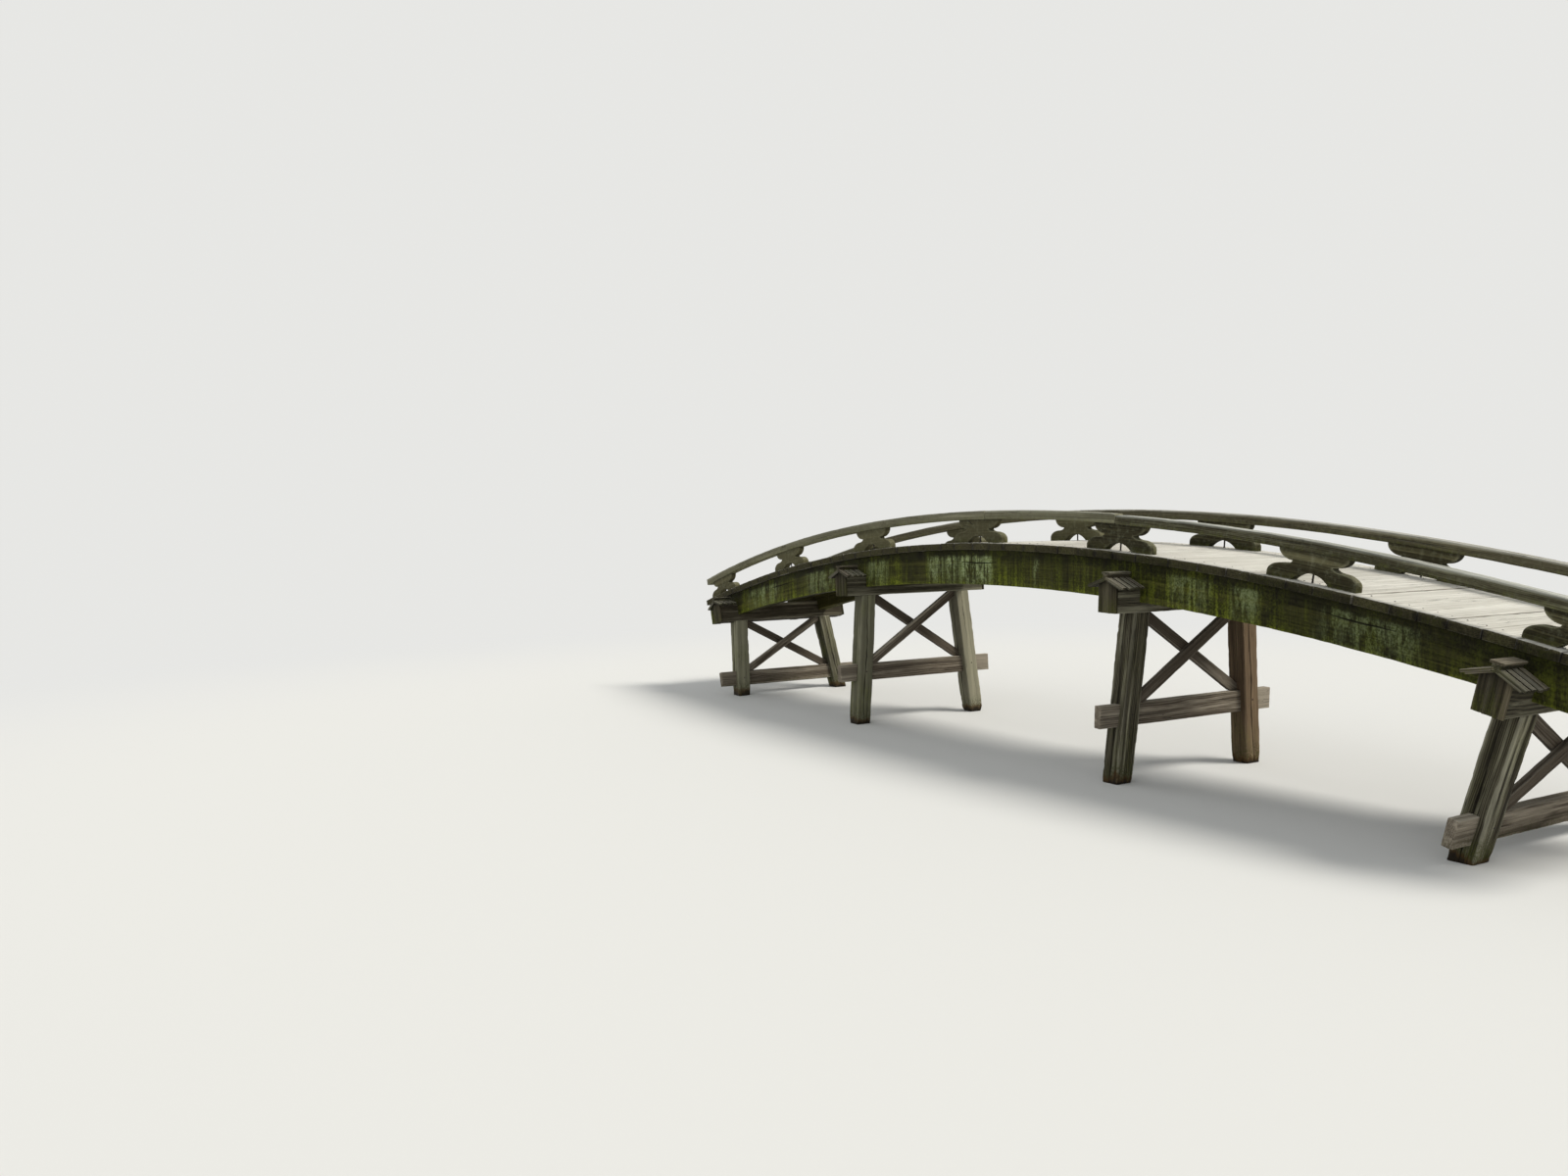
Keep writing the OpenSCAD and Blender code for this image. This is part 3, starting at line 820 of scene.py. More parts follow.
def deck():
    """Cross planks with worn arrises, uneven ends, open joints and nails."""
    planks, nails = Build(), Build()
    random = np.random.default_rng(17)
    joints = plank_joints()
    for k, (start, end) in enumerate(zip(joints, joints[1:])):
        width = end - start - random.uniform(0.003, 0.007)
        thick = PLANK_THICK - random.uniform(0.0, 0.004)
        near_end, far_end = random.uniform(-0.008, 0.004, 2)
        proud = abs(end - PROUD_JOINT) < 0.01
        if proud:
            near_end = 0.008
        elif abs(start - PROUD_JOINT) < 0.01:
            near_end = -0.006
        middle = (start + end) / 2 / ARCH_RADIUS
        place = on_arch(middle, ARCH_RADIUS + thick / 2 + WIDE_CLEARANCE, -DECK_EDGE - near_end)
        place = place @ Matrix.Rotation(random.uniform(-0.004, 0.004), 4, "Z") @ ACROSS
        checks = []
        for _ in range(random.integers(1, 4)):
            first = random.choice([-0.2, random.uniform(0.1, 0.9)])
            checks.append(Check(1, random.uniform(0.12, 0.88), first, first + random.uniform(0.3, 0.7),
                                random.uniform(0.006, 0.014), random.uniform(0.001, 0.0024), 0.03))
        ordered = sorted(checks, key=lambda check: check.across)
        apart = [check for check in ordered[1:] if check.across - checks[0].across > 0.2]
        timber(planks, straight(place), DECK_WIDTH + near_end + far_end, width, thick, 1000 + k, rows=36,
               columns=(3, 9, 3, 4), rough=0.0013, checks=ordered[:1] + apart[:1], wave=0.0012,
               ragged=0.003, paint=deck_paint(width, proud), warm=random.uniform(-0.08, 0.06))
        for side in (NEAR, FAR):
            for nailed in (start + NAIL_INSET, end - NAIL_INSET):
                place = on_arch(nailed / ARCH_RADIUS, DECK_TOP - 0.004, side * (GIRDER_MIDDLE - 0.02))
                lathe(nails, place, NAIL_HEAD, 10)
    planks.finish("deck_planks", DECK, "deck_planks", ["deck"])
    nails.finish("deck_nails", IRON, "iron")


# Trestles

# Tone, warmth, moss, wear at the water and the face with the deep split, for each post; the tone also carries
# painted shade on the near posts of c and d and painted sunlight on b's far post
POST_LOOKS = {(0, NEAR): (1.8, -0.3, 0.35, 0.006, 3), (0, FAR): (0.2, -0.2, 0.3, 0.006, 0),
              (1, NEAR): (1.0, -0.4, 0.5, 0.008, 0), (1, FAR): (2.0, 0.0, 0.1, 0.020, 3),
              (2, NEAR): (-0.9, -0.1, 0.2, 0.006, 3), (2, FAR): (0.9, 0.55, 0.15, 0.009, 0),
              (3, NEAR): (-0.9, -0.1, 0.2, 0.006, 3), (3, FAR): (0.0, 0.1, 0.2, 0.007, 1)}
SPIKE_HEAD = ((0.0075, 0.0), (0.0075, 0.0035), (0.006, 0.005), (0.001, 0.0055))

# How deep a brace's ends go into the posts, and the gap between two braces where they cross
BRACE_HOUSED = 0.012
BRACE_GAP = 0.0006


def post_paint(mossy, side, tone):
    """Moss in ragged upright patches, thicker toward the water, a darker inner face, partly weathering and
    partly painted shade, and a paler face toward the right end as painted light.
    """
    def paint(local, world):
        low = ramp(world[:, 2], 0.9, -0.9)
        points = np.stack([world[:, 2], world[:, 0], np.sign(world[:, 1])], -1)
        # Painted shade on the inner face, which is also more weathered
        inner = ramp(-side * local[:, 2], POST_SIDE / 2 - 0.012, 0.01)
        # The face toward the right end is made paler as painted light; it also carries a pale streak
        end_face = ramp(local[:, 1], POST_SIDE / 2 - 0.012, 0.01)
        streak = 0.8 * end_face * hump(local[:, 2], 0.02 * drift(local[:, 0], 1.5, 93) - 0.01, 0.016)
        return {"moss": mossy * (0.4 + low) * np.clip(0.4 + noise(points, (4, 9, 3), 91, 2), 0, 1),
                "stain": 0.4 * inner, "tone": tone + streak + 0.5 * end_face * (1 - inner)}
    return paint


def post_checks(length, split_face, seed):
    """Two cracks on each face of a post. On one face, the first is a deep split from end to end."""
    random = np.random.default_rng(seed)
    checks = []
    for face in range(4):
        start = random.uniform(0.1, 0.5) * length
        check = Check(face, random.uniform(0.3, 0.45), start, start + random.uniform(0.45, 0.75) * length,
                      random.uniform(0.016, 0.026), random.uniform(0.002, 0.004))
        if face == split_face:
            check = Check(face, 0.42, -0.1 * length, 1.05 * length, 0.045, 0.0075, 0.09, 0.75)
        start = random.uniform(-0.1, 0.2) * length
        second = Check(face, random.uniform(0.6, 0.75), start, start + random.uniform(0.2, 0.5) * length,
                       random.uniform(0.008, 0.016), random.uniform(0.0015, 0.003))
        checks += [check, second]
    return checks


def post(i, side):
    """A leaning post with chamfered corners, cut under the cap beam and worn at the water line."""
    lean = side * POST_LEAN
    whole = on_trestle(i) @ Matrix.Translation((0, side * POST_PLACE, 0)) @ Matrix.Rotation(lean, 4, "X")
    turn, move = np.array(whole.to_3x3()), np.array(whole.translation)
    length = -CAP_DROP / math.cos(lean) + move[2] / turn[2, 2]

    def place(p):
        v, w = p[..., 1], p[..., 2]
        bottom = -(move[2] + v * turn[2, 0] + w * turn[2, 1]) / turn[2, 2]
        top = (-CAP_DROP - w * math.sin(lean)) / math.cos(lean)
        along = bottom + p[..., 0] / length * (top - bottom)
        return np.stack([v, w, along], -1) @ turn.T + move
    seed = 2000 + 20 * i + 5 * side
    tone, warm, mossy, wear, split_face = POST_LOOKS[i, side]
    name = "trestle_" + TRESTLES[i] + "_" + SIDE_NAMES[side] + "_post"
    single(name + "_timber", TRESTLE, "trestle_timber", name, place, length, POST_SIDE, POST_SIDE, seed,
           rows=int(30 + length * 42), radius=0.014, rough=0.002, worn_end=wear, warm=warm,
           checks=post_checks(length, split_face, seed), paint=post_paint(mossy, side, tone))
    spikes = Build()
    for face in (1, -1):
        v = face * (POST_SIDE / 2 - 0.002)
        height = TIES_ABOVE_WATER[i] + TIE_HEIGHT / 2 + 0.01 * face
        along = (height - move[2] - v * turn[2, 0]) / turn[2, 2]
        turned = Matrix.Rotation(math.radians(90 * face), 4, "Y")
        lathe(spikes, whole @ Matrix.Translation((v, 0.004, along)) @ turned, SPIKE_HEAD, 12)
    spikes.finish(name + "_spikes", IRON, "iron")


def crosswise(i, middle, end):
    """Placing for a timber that lies across the bridge, at a height in a trestle's frame."""
    return straight(on_trestle(i) @ Matrix.Translation((0, -end, middle)) @ ACROSS)


def tie_paint(i):
    """Paler ends where they stand out past the posts: weathered wood with painted sunlight, most on the far
    side.
    """
    sunlit_far_tone = 3.0 if i == 2 else 2.0
    post_face = clear_half(tie_drop(i)) + POST_SIDE

    def paint(local, world):
        return {"tone": np.select([world[:, 1] > post_face, world[:, 1] < -post_face], [sunlit_far_tone, 0.8])}
    return paint


def brace(i, side, layer, name, seed):
    """A brace from the foot on its side to the other side's head, cut to the tie and cap beams."""
    low, high = tie_drop(i), CAP_DROP
    start = Vector((0, side * (clear_half(low) + BRACE_HOUSED), -low))
    finish = Vector((0, -side * (clear_half(high) + BRACE_HOUSED), -high))
    along = finish - start
    up = Vector((1, 0, 0)).cross(along)
    if up.z < 0:
        up = -up
    start.x = layer * (BRACE_THICK + BRACE_GAP) / 2
    inner = straight(axes(along, up.cross(along), up, start))
    outer = straight(on_trestle(i))

    def place(p):
        q = inner(p)
        q[..., 2] = np.clip(q[..., 2], -low + WIDE_CLEARANCE, -high - WIDE_CLEARANCE)
        return outer(q)
    checks = [Check(0 if layer > 0 else 2, 0.5, 0.2, 0.9, 0.007, 0.0015),
              Check(2, 0.4, 0.5, 1.2, 0.006, 0.0015)]
    # Painted shade: the back braces, and the front braces of c and d, are darker
    tone = -0.7 if layer > 0 and i < 2 else -1.8
    single(name + "_timber", TIE, "trestle_timber", name, place, along.length, BRACE_THICK, BRACE_HEIGHT,
           seed, rows=52, columns=(5, 3), radius=0.004, checks=checks, wave=0.001, tone=tone, warm=0.05)


def trestle(i):
    """Two posts, the cap beam on them, the tie beam through them and the two braces between them."""
    name = "trestle_" + TRESTLES[i]
    seed = 2500 + 40 * i
    for side in (NEAR, FAR):
        post(i, side)
    checks = [Check(0, 0.5, -0.1, 0.9, 0.012, 0.002), Check(2, 0.4, 0.8, 2.0, 0.012, 0.002),
              Check(3, 0.5, 0.3, 1.6, 0.01, 0.002)]
    # The cap beam's low tone is painted shade under the girders
    single(name + "_cap_timber", TRESTLE, "trestle_timber", name + "_cap_beam",
           crosswise(i, CAP_TOP - CAP_DEPTH / 2, CAP_END), 2 * CAP_END, CAP_WIDTH, CAP_DEPTH, seed, rows=64,
           columns=(8, 7), radius=0.006, rough=0.0016, checks=checks, tone=-1.0)
    drop = tie_drop(i) + TIE_HEIGHT / 2
    end = clear_half(drop) + POST_SIDE / math.cos(POST_LEAN) + TIE_PROJECTION
    checks = [Check(0, 0.35, 0.1, 1.1, 0.008, 0.002), Check(2, 0.6, -0.2, 0.7, 0.01, 0.0025),
              Check(2, 0.3, 0.9, 1.9, 0.008, 0.002), Check(1, 0.5, -0.2, 0.5, 0.01, 0.0025)]
    single(name + "_tie_timber", TIE, "trestle_timber", name + "_tie_beam", crosswise(i, -drop, end),
           2 * end, TIE_THICK, TIE_HEIGHT, seed + 3, rows=84, columns=(8, 4), rough=0.0011, checks=checks,
           wave=0.001, ragged=0.002, paint=tie_paint(i), warm=0.05)
    brace(i, NEAR, 1, name + "_front_brace", seed + 7)
    brace(i, FAR, -1, name + "_back_brace", seed + 9)


# Cap ends

# Cuts between the three cover boards of a cap end, and sizes of the little roofs' boards and ridge block
COVER_CUTS = (-0.034, 0.032)
UNDER_BOARD_THICK = 0.012
OVER_BOARD_WIDTH, OVER_BOARD_THICK = 0.044, 0.019
BLOCK_WIDTH, BLOCK_HEIGHT = 0.052, 0.050
RIDGE_BOARD_WIDTH, RIDGE_BOARD_THICK = 0.090, 0.017


def cover_boards(i, side, build):
    """Three upright boards that close a cap beam's end, cut to the little roof's slopes."""
    random = np.random.default_rng(3000 + 10 * i + side)
    cuts = [cut + random.uniform(-0.006, 0.006) for cut in COVER_CUTS]
    cuts = [-COVER_WIDTH / 2, *cuts, COVER_WIDTH / 2]
    trestle_place = straight(on_trestle(i))
    length = CAP_DROP + SOFFIT_RIDGE
    for k in range(3):
        left, right = cuts[k] + 0.0008, cuts[k + 1] - 0.0008
        bottom = -CAP_DROP + (random.uniform(0, 0.004) if k != 1 else 0)
        thick = COVER_THICK - random.uniform(0, 0.002)

        def place(p, middle=(left + right) / 2, bottom=bottom, thick=thick):
            x = p[..., 1] + middle
            z = bottom + p[..., 0] / length * (soffit(x) - CLEARANCE - bottom)
            y = side * (CAP_END + thick / 2) + p[..., 2]
            return trestle_place(np.stack([x, y, z], -1))

        def paint(local, world):
            # The upper part is darkened as painted shade under the little roof; the moss is lower down
            high = ramp(local[:, 0], 0, length)
            return {"stain": 0.5 * ramp(high, 0.72, 0.25), "moss": 0.25 * (1 - high)}
        face = 1 if side == FAR else 3
        check = Check(face, random.uniform(0.35, 0.65), -0.05, random.uniform(0.12, 0.25),
                      0.006, 0.0012, 0.04)
        timber(build, place, length, right - left, thick, 3100 + 10 * i + 3 * side + k, rows=26,
               columns=(2, 6), radius=0.0025, rough=0.0009, checks=[check], ragged=0.004, paint=paint)


def roof_paint(local, world):
    """Patches of moss and stain."""
    return {"moss": 0.35 * np.clip(0.1 + noise(world, 9, 55, 2), 0, 1),
            "stain": 0.15 * np.clip(noise(world, 14, 56, 2), 0, 1)}


def roof(i, side, build):
    """A little roof: spaced boards over close ones on both slopes, a ridge block and a flat board on it."""
    run = CAP_END + COVER_THICK + ROOF_OVERHANG - ROOF_START
    seed = 3500 + 40 * i + 3 * side
    random = np.random.default_rng(seed)
    slope_length = ROOF_WIDTH / 2 / math.cos(ROOF_SLOPE)
    for sign in (-1, 1):
        down = Vector((sign * math.cos(ROOF_SLOPE), 0, -math.sin(ROOF_SLOPE)))
        up = Vector((sign * math.sin(ROOF_SLOPE), 0, math.cos(ROOF_SLOPE)))

        def on_slope(middle, lift):
            slope = axes(down, up.cross(down), up, (0, side * middle, SOFFIT_RIDGE))
            return straight(on_trestle(i) @ slope @ Matrix.Translation((0, 0, lift)))
        for k in range(3):
            place = on_slope(ROOF_START + run * (k + 0.5) / 3, UNDER_BOARD_THICK / 2)
            length = slope_length - random.uniform(0.026, 0.036)
            timber(build, place, length, run / 3 - 0.0015, UNDER_BOARD_THICK, seed + 7 * k + sign, rows=10,
                   columns=(1, 4), radius=0.002, rough=0.0008, wave=0.0006, paint=roof_paint)
        for k in range(4):
            aside = random.uniform(-0.001, 0.001) * (0 < k < 3)
            middle = ROOF_START + OVER_BOARD_WIDTH / 2 + (run - OVER_BOARD_WIDTH) * k / 3 + aside
            place = on_slope(middle, UNDER_BOARD_THICK + OVER_BOARD_THICK / 2 + 0.0002)
            length = slope_length - random.uniform(0.0, 0.014)
            checks = [Check(1, random.uniform(0.3, 0.7), 0.08, slope_length + 0.1, 0.005, 0.0012, 0.05)]
            timber(build, place, length, OVER_BOARD_WIDTH, OVER_BOARD_THICK, seed + 40 + 7 * k + sign,
                   rows=18, columns=(3, 5, 3, 2), radius=0.003, rough=0.0011, checks=checks, wave=0.0006,
                   paint=roof_paint)

    def on_ridge(lift):
        first = ROOF_START if side == FAR else -ROOF_START - run
        return on_trestle(i) @ ACROSS @ Matrix.Translation((first, 0, SOFFIT_RIDGE + lift))
    timber(build, straight(on_ridge(BLOCK_HEIGHT / 2)), run, BLOCK_WIDTH, BLOCK_HEIGHT - WIDE_CLEARANCE,
           seed + 81, rows=18, columns=(4, 1), radius=0.003, paint=roof_paint)
    board = on_ridge(BLOCK_HEIGHT + RIDGE_BOARD_THICK / 2)
    board = board @ Matrix.Rotation(random.uniform(-0.008, 0.008), 4, "Z")
    checks = [Check(1, random.uniform(0.3, 0.7), -0.05, 0.16, 0.006, 0.0012, 0.05)]
    timber(build, straight(board), run, RIDGE_BOARD_WIDTH, RIDGE_BOARD_THICK, seed + 83, rows=24,
           columns=(2, 7, 2, 5), radius=0.003, checks=checks, wave=0.001, tone=0.8)


def bearer(i, side, build):
    """The wedge between a cap beam's top and the little roof on it."""
    length = CAP_END - CLEARANCE - ROOF_START
    start = ROOF_START if side == FAR else CLEARANCE - CAP_END
    tall, base = SOFFIT_RIDGE - CAP_TOP, CAP_TOP + CLEARANCE
    whole = straight(on_trestle(i))

    def place(p):
        x = -p[..., 1]
        z = base + (p[..., 2] + tall / 2) / tall * (soffit(x) - base)
        return whole(np.stack([x, start + p[..., 0], z], -1))
    timber(build, place, length, CAP_WIDTH, tall, 3591 + 40 * i + 3 * side, rows=10, columns=(2, 6),
           radius=0.002, rough=0.0008)


def cap_ends(i):
    """Cover boards and little roofs on both ends of a trestle's cap beam."""
    name = "trestle_" + TRESTLES[i]
    covers, roofs = Build(), Build()
    for side in (NEAR, FAR):
        cover_boards(i, side, covers)
        roof(i, side, roofs)
        bearer(i, side, roofs)
    covers.finish(name + "_cover_boards", COVER, "roof_boards", [name + "_end_covers"])
    roofs.finish(name + "_roof_boards", ROOF, "roof_boards", [name + "_end_roofs"])


# Rails

# Support over which a rail's timbers meet, how far past its middle, and how far the joint has opened
RAIL_JOINTS = {NEAR: ((-2, 0.0, 0.003), (0, 0.12, 0.015), (1, -0.04, 0.006)),
               FAR: ((-2, 0.0, 0.003), (0, 0.08, 0.004))}
# Tone of each rail timber, which also carries painted sunlight on most timbers and painted shade on the near
# rail's last one
RAIL_SUN_AND_SHADE_TONES = {NEAR: (1.6, 1.6, 1.8, -0.3), FAR: (1.0, 0.6, 0.6)}
STEP_DOWN = 0.008


def rail(side):
    """A rail of bent timbers that meet over the supports. The near one steps down at its last joint."""
    build = Build()
    middle_radius = RAIL_BASE + RAIL_HEIGHT / 2
    joints = [(k * SUPPORT_ANGLE + shift / middle_radius, gap) for k, shift, gap in RAIL_JOINTS[side]]
    joints = [(-END_ANGLE, 0.0), *joints, (END_ANGLE, 0.0)]
    for k, ((start, start_gap), (end, end_gap)) in enumerate(zip(joints, joints[1:])):
        start += start_gap / 2 / middle_radius
        length = (end - end_gap / 2 / middle_radius - start) * middle_radius
        stepped = side == NEAR and k == 3
        lowered = STEP_DOWN * stepped
        random = np.random.default_rng(4000 + 10 * k + side)
        checks = []
        for face in range(3):
            first = random.uniform(0, 0.7) * length
            checks.append(Check(face, random.uniform(0.3, 0.7), first, first + random.uniform(0.5, 1.3),
                                0.008, 0.0018, 0.05))

        def paint(local, world, length=length, stepped=stepped, tone=RAIL_SUN_AND_SHADE_TONES[side][k]):
            # The right end face of each timber is painted pale as painted light
            lit_end = (local[:, 0] > length - 0.002) * 3.0
            # Painted shade at the top of the step down
            notch = stepped * ramp(local[:, 0], 0.05, -0.05) * ramp(local[:, 2], 0.03, 0.008)
            return {"moss": 0.3 * ramp(-local[:, 2], 0, RAIL_HEIGHT / 2), "stain": notch,
                    # The upper part is paler: bleaching and painted light on top
                    "edge": np.clip((local[:, 2] - 0.02) / 0.015, 0, 2.0) * (1 - notch),
                    "tone": lit_end + tone + 0.4 * noise(world, (3, 3, 3), 47, 2)}
        timber(build, along_arch(start, middle_radius - lowered, side * (RAIL_MIDDLE + lowered / 2)), length,
               RAIL_WIDTH, RAIL_HEIGHT, 4100 + 10 * k + side, rows=int(24 + length * 20), columns=(6, 6),
               radius=(0.005, 0.008, 0.008, 0.005), rough=0.0014, checks=checks, worn_end=0.004 * stepped,
               ragged=0.001, paint=paint, wave=0.0008)
    name = SIDE_NAMES[side] + "_rail"
    build.finish(name + "_timber", RAIL, "rail_timber", [name])


# Rail supports

FOOT_HALF, FOOT_EDGE = 0.36, 0.030
SHOULDER_WIDTH, SHOULDER_HEIGHT = 0.124, 0.075
WAIST_HEIGHT, WAIST_HALF = 0.134, 0.16
HEAD_HALF = 0.28
OPENING_RADIUS = ((OPENING_WIDTH / 2) ** 2 + OPENING_HEIGHT ** 2) / (2 * OPENING_HEIGHT)
OPENING_ARC = 0.82
WORN_EDGE, OPENING_EDGE = 0.006, 0.002
LEAST_ROW = 0.0012

# Supports as they are counted from the crown, those of the near rail whose heads have split, and the
# radius and height of the rusted rod in each opening
SUPPORTS = range(-3, 4)
SPLIT_SUPPORTS = (0, 1)
ROD_PROFILE = ((0.0085, 0.0), (0.0082, 0.002), (0.0071, 0.004), (0.0067, 0.02), (0.0070, 0.045),
               (0.0068, 0.06), (0.0070, 0.0715), (0.001, 0.0715))


def foot_width(z):
    """Half the width of a support's foot at a height, up to the top of its round shoulder."""
    part = np.clip((z - FOOT_EDGE) / SHOULDER_HEIGHT, 0, 1)
    return FOOT_HALF - SHOULDER_WIDTH * (1 - math.sqrt(1 - part * part))


def level_to_upright(start, end, count):
    """A quarter of an ellipse that sets out level and ends upright, as pairs of height and width."""
    (z0, x0), (z1, x1) = start, end
    return [(z1 - (z1 - z0) * math.cos(a), x0 + (x1 - x0) * math.sin(a))
            for a in np.radians(np.linspace(0, 90, count))]


def support_rows():
    """Rows up a support's right half: outer points and normals, inner ones, and which reach the opening."""
    heights = {0.0, 0.008, 0.018, FOOT_EDGE}
    heights |= {FOOT_EDGE + SHOULDER_HEIGHT * math.sin(math.radians(a)) for a in range(8, 90, 8)}
    turns = np.linspace(0.0, OPENING_ARC, 13)[:-1]
    heights |= {OPENING_HEIGHT - OPENING_RADIUS * (1 - math.cos(turn)) for turn in turns}
    rows = []
    for z in sorted(z for z in heights if z >= 0):
        if not rows or z - rows[-1][0] >= LEAST_ROW or abs(z - OPENING_HEIGHT) < 1e-9:
            rows.append((z, foot_width(z)))
    shoulder, waist = (FOOT_EDGE + SHOULDER_HEIGHT, FOOT_HALF - SHOULDER_WIDTH), (WAIST_HEIGHT, WAIST_HALF)
    head = (SUPPORT_HEIGHT - CLEARANCE, HEAD_HALF)
    z, x = np.transpose(rows + level_to_upright(shoulder, waist, 9) + level_to_upright(waist, head, 15)[1:])
    slope = np.stack([np.gradient(x), np.gradient(z)], -1)
    slope /= np.linalg.norm(slope, axis=1, keepdims=True)
    normal = np.stack([slope[:, 1], -slope[:, 0]], -1)
    normal[0] = normal[-1] = (1, 0)
    angle = np.arccos(np.clip((z + OPENING_RADIUS - OPENING_HEIGHT) / OPENING_RADIUS, -1, 1))
    opening = z <= OPENING_HEIGHT + 1e-9
    inner = np.stack([np.where(opening, OPENING_RADIUS * np.sin(angle), 0.0), z], -1)
    inner_normal = -np.stack([np.sin(angle), np.cos(angle)], -1) * opening[:, None]
    return np.stack([x, z], -1), normal, inner, inner_normal, opening


def support_profile():
    """Lines across a quarter of a support, from its inner edge round the face to its outer edge.

    Each has its places in x and z, its distance from the middle plane, and how much it belongs to an
    arris.
    """
    outer, normal, inner, inner_normal, opening = support_rows()
    half = np.full(len(outer), SUPPORT_THICK / 2)
    lines = [(inner, 0 * half, 0.0)]
    for turn in np.radians((0, 45, 90)):
        shift, back = OPENING_EDGE * (1 - math.cos(turn)), OPENING_EDGE * (1 - math.sin(turn))
        lines.append((inner - inner_normal * shift, half - back * opening, 0.5))
    first, last = inner - inner_normal * OPENING_EDGE, outer - normal * WORN_EDGE
    for t in np.arange(1, 13) / 12:
        lines.append((first + (last - first) * t, half, 0.6 if t == 1 else 0.0))
    for turn in np.radians((30, 60, 90)):
        shift, back = WORN_EDGE * (1 - math.sin(turn)), WORN_EDGE * (1 - math.cos(turn))
        lines.append((outer - normal * shift, half - back, 1.0))
    lines += [(outer, half * 0.4, 0.0), (outer, half * 0.0, 0.0)]
    return lines, opening


def support_mesh():
    """A support's points, quads, triangles and arrises: a quarter, mirrored and closed at foot and head."""
    lines, opening = support_profile()
    plan, depth, edge = (np.stack(values, -1) for values in zip(*lines))
    grid = np.arange(depth.size).reshape(depth.shape)
    reaches = np.ones((depth.shape[0] - 1, depth.shape[1] - 1), bool)
    reaches[~opening[1:], 0] = False
    points, quads, closing = [], [], []
    for mirror in (1, -1):
        grids = []
        for face in (1, -1):
            g = grid + len(points) * grid.size
            grids.append(g)
            points.append(np.stack([mirror * plan[:, 0], face * depth, plan[:, 1]], -1).reshape(-1, 3))
            faces = np.stack([g[:-1, :-1], g[:-1, 1:], g[1:, 1:], g[1:, :-1]], -1)[reaches]
            quads.append(faces if mirror * face < 0 else faces[:, ::-1])
        for row, upward in ((0, False), (-1, True)):
            front, back = (g[row] for g in grids)
            faces = np.stack([front[:-1], front[1:], back[1:], back[:-1]], -1)
            closing.append(faces if (mirror > 0) == upward else faces[:, ::-1])
    points, edges = np.concatenate(points), np.tile(np.broadcast_to(edge, depth.shape).reshape(-1), 4)
    whole = np.round(points * 1e6).astype(np.int64)
    _, kept, place_of = np.unique(whole, axis=0, return_index=True, return_inverse=True)
    quads = place_of.reshape(-1)[np.concatenate(quads + closing)]
    same = quads == np.roll(quads, -1, axis=1)
    full, three = same.sum(1) == 0, same.sum(1) == 1
    return points[kept], quads[full], quads[three][~same[three]].reshape(-1, 3), edges[kept]


def supports(side):
    """The supports of one rail and the rods in their openings."""
    points, quads, triangles, edges = support_mesh()
    build, rods = Build(), Build()
    for k in SUPPORTS:
        seed = 5000 + 10 * k + side
        random = np.random.default_rng(seed)
        shift = random.uniform(3, 40, 3) * (side != NEAR or k not in SPLIT_SUPPORTS)
        relief = 0.0016 * noise(points + shift, (2.5, 24, 28), seed, 3)
        chips = 0.006 * edges * np.clip(noise(points + shift, (18, 20, 18), seed + 1) - 0.3, 0, 1)
        worn = points.copy()
        worn[:, 1] += np.sign(points[:, 1]) * (relief - chips)
        worn[:, 2] -= chips * 0.5 * (points[:, 2] > 0.02)
        # The foot is darker, and the top under the rail is darkened as painted shade
        low, under = ramp(worn[:, 2], 0.06, -0.06), ramp(worn[:, 2], 0.18, 0.04)
        place = along_arch(k * SUPPORT_ANGLE, DECK_TOP + CLEARANCE, side * RAIL_MIDDLE)
        # Supports left of the crown get a paler tone as painted sunlight
        build.add(place(worn), points + shift, quads, triangles, edge=edges, moss=0.25 * low,
                  tone=random.uniform(-0.5, 0.5) + 1.8 * (k <= 0), stain=0.5 * under + 0.25 * low)
        lathe(rods, on_arch(k * SUPPORT_ANGLE, DECK_TOP + CLEARANCE, side * RAIL_MIDDLE), ROD_PROFILE, 14)
    name = SIDE_NAMES[side]
    build.finish(name + "_rail_support_timber", SUPPORT, "rail_timber", [name + "_rail_supports"])
    rods.finish(name + "_rods", IRON, "iron", [name + "_support_rods"])


def kerb_strip():
    """The one strip left between two of the far rail's supports."""
    clear = (FOOT_HALF + 0.020) / DECK_TOP
    start, end = 2 * SUPPORT_ANGLE + clear, 3 * SUPPORT_ANGLE - clear
    radius = DECK_TOP + CLEARANCE + STRIP_HEIGHT / 2
    place = along_arch(start, radius, FAR * RAIL_MIDDLE)
    single("far_kerb_strip_timber", DECK, "deck_planks", "far_kerb_strip", place, (end - start) * radius,
           STRIP_WIDTH, STRIP_HEIGHT, 6000, rows=50, columns=(6, 5), radius=0.006, rough=0.0015,
           checks=[Check(2, 0.5, 0.1, 0.7, 0.006, 0.0014)], tone=0.6)


girders()
deck()
for i in range(4):
    trestle(i)
    cap_ends(i)
for side in (NEAR, FAR):
    rail(side)
    supports(side)
kerb_strip()


# Floor, background and light

BACKGROUND = (0.80, 0.80, 0.78, 1.0)
FLOOR_RADIUS = 60.0
FLOOR_SIDES = 96


def studio_world():
    """Soft pale surroundings that light the object less than they show to the camera."""
    g = Graph(bpy.data.worlds.new("studio"))
    light = g.add("Background", {"Color": (0.94, 0.96, 0.96, 1.0), "Strength": 0.36})
    seen = g.add("Background", {"Color": BACKGROUND, "Strength": 1.0})
    g.add("OutputWorld", {"Surface": g.add("MixShader", {0: g.shown(), 1: light, 2: seen})})
    bpy.context.scene.world = g.owner


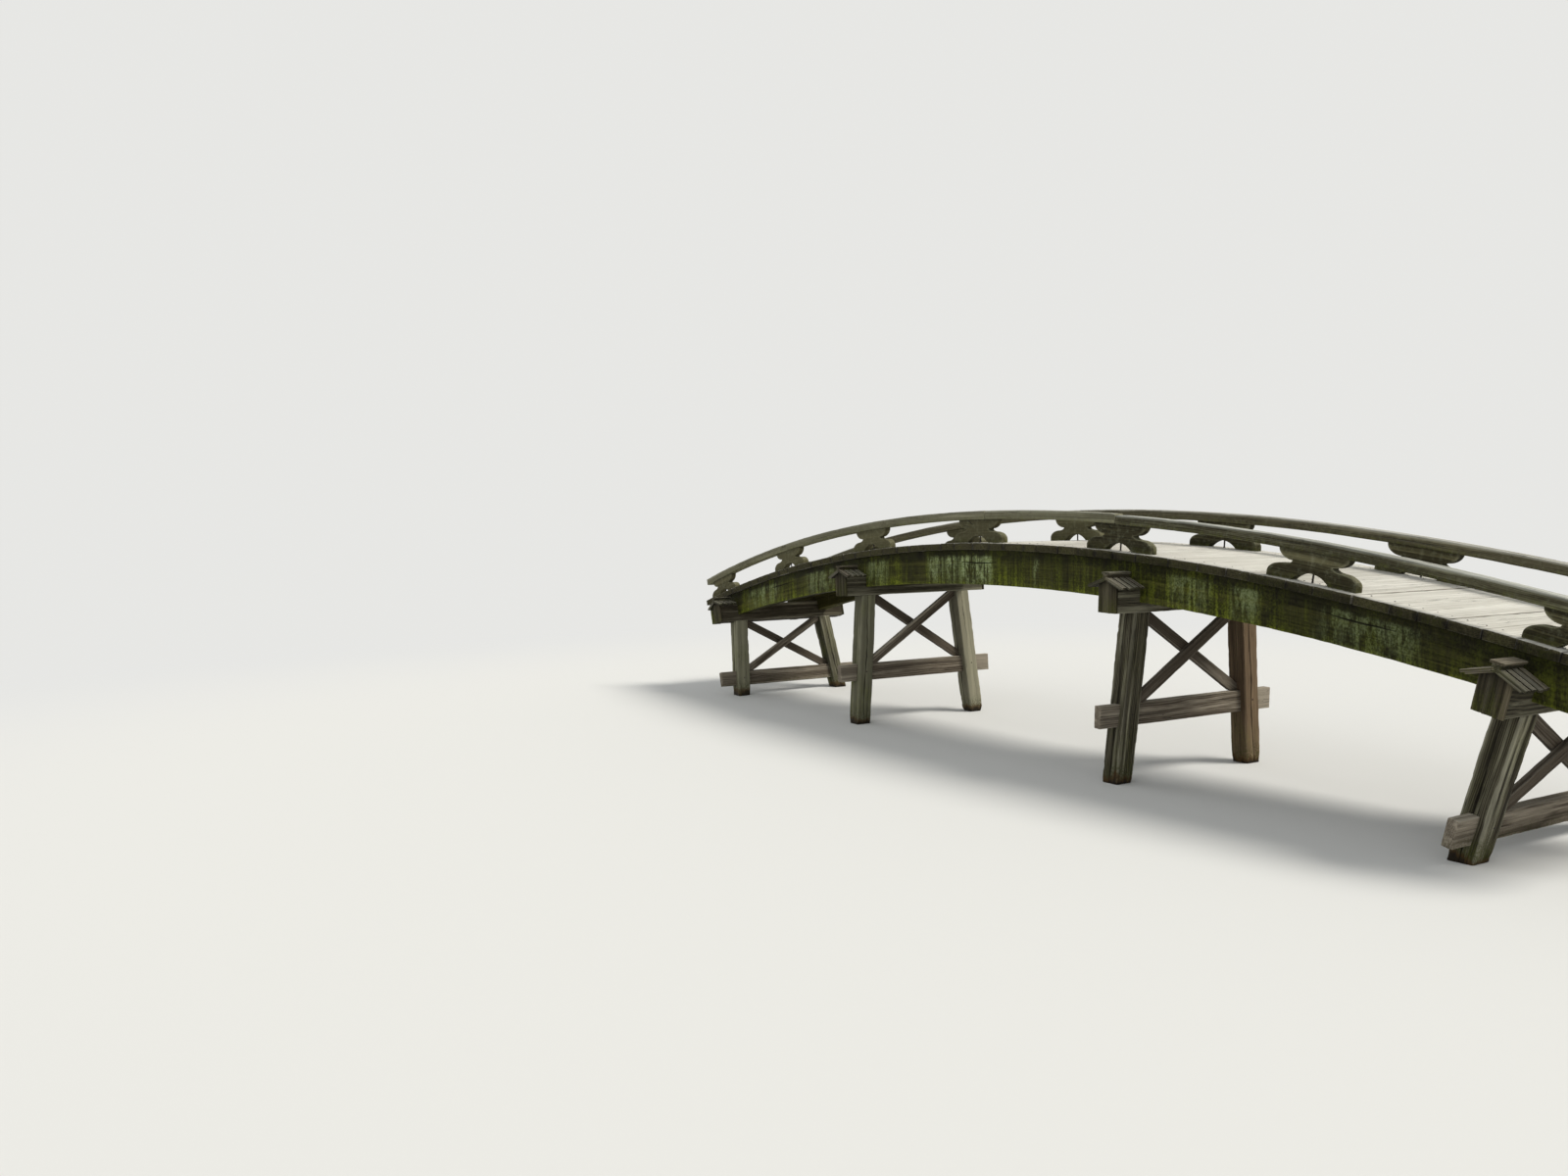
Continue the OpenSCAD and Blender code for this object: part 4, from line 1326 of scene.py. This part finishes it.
def floor():
    """A pale disc at the water line that fades into the background."""
    turns = [2 * math.pi * k / FLOOR_SIDES for k in range(FLOOR_SIDES)]
    corners = [(FLOOR_RADIUS * math.cos(turn), FLOOR_RADIUS * math.sin(turn), 0) for turn in turns]
    mesh = bpy.data.meshes.new("floor")
    mesh.from_pydata(corners, [], [range(FLOOR_SIDES)])
    disc = bpy.data.objects.new("floor", mesh)
    bpy.context.scene.collection.objects.link(disc)
    g = Graph(bpy.data.materials.new("floor_pale"))
    away = g.vector("LENGTH", g.add("TexCoord", {}, "Object"), output="Value")
    matt = g.add("BsdfPrincipled", {"Base Color": (0.74, 0.74, 0.72, 1.0), "Roughness": 0.85,
                                    "Specular IOR Level": 0.15})
    glow = g.add("Emission", {"Color": BACKGROUND, "Strength": 1.0})
    far_look = g.add("MixShader", {0: g.shown(), 1: g.add("BsdfTransparent", {}), 2: glow})
    surface = g.add("MixShader", {0: g.level(away, 7.5, 16.0), 1: matt, 2: far_look})
    g.add("OutputMaterial", {"Surface": surface})
    mesh.materials.append(g.owner)


def sun(name, place, strength, spread, colour):
    """A distant lamp that shines from a place toward the middle, softer with a wider spread in degrees."""
    lamp = bpy.data.lights.new(name, "SUN")
    lamp.energy = strength
    lamp.angle = math.radians(spread)
    lamp.color = colour
    holder = bpy.data.objects.new(name, lamp)
    bpy.context.scene.collection.objects.link(holder)
    holder.location = place
    holder.rotation_euler = (-Vector(place)).to_track_quat("-Z", "Y").to_euler()


# The photograph's viewpoint, from the right end on the near side, and its focal length
EYE = (9.0375, -7.9625, 2.0717)
YAW, PITCH, ROLL = 1.05281, -0.04323, -0.01807
FOCAL_PIXELS, PHOTO_PIXELS = 1216.53, 1600
SENSOR_WIDTH = 36.0


def camera():
    """A camera at the photograph's viewpoint."""
    data = bpy.data.cameras.new("camera")
    data.sensor_width = SENSOR_WIDTH
    data.lens = FOCAL_PIXELS / PHOTO_PIXELS * SENSOR_WIDTH
    data.clip_end = 200.0
    holder = bpy.data.objects.new("camera", data)
    bpy.context.scene.collection.objects.link(holder)
    level = Matrix.Translation(EYE) @ Matrix.Rotation(YAW, 4, "Z")
    holder.matrix_world = level @ Matrix.Rotation(math.pi / 2 + PITCH, 4, "X") @ Matrix.Rotation(ROLL, 4, "Z")
    bpy.context.scene.camera = holder


studio_world()
floor()
sun("key", (8.0, 7.0, 12.0), 2.7, 22, (1.0, 0.965, 0.9))
sun("fill", (7.0, -14.0, 6.0), 0.85, 70, (0.95, 0.98, 1.0))
sun("left_fill", (-12.0, -4.0, 6.0), 0.45, 70, (0.96, 0.98, 1.0))
camera()
bpy.context.scene.view_settings.view_transform = "Standard"
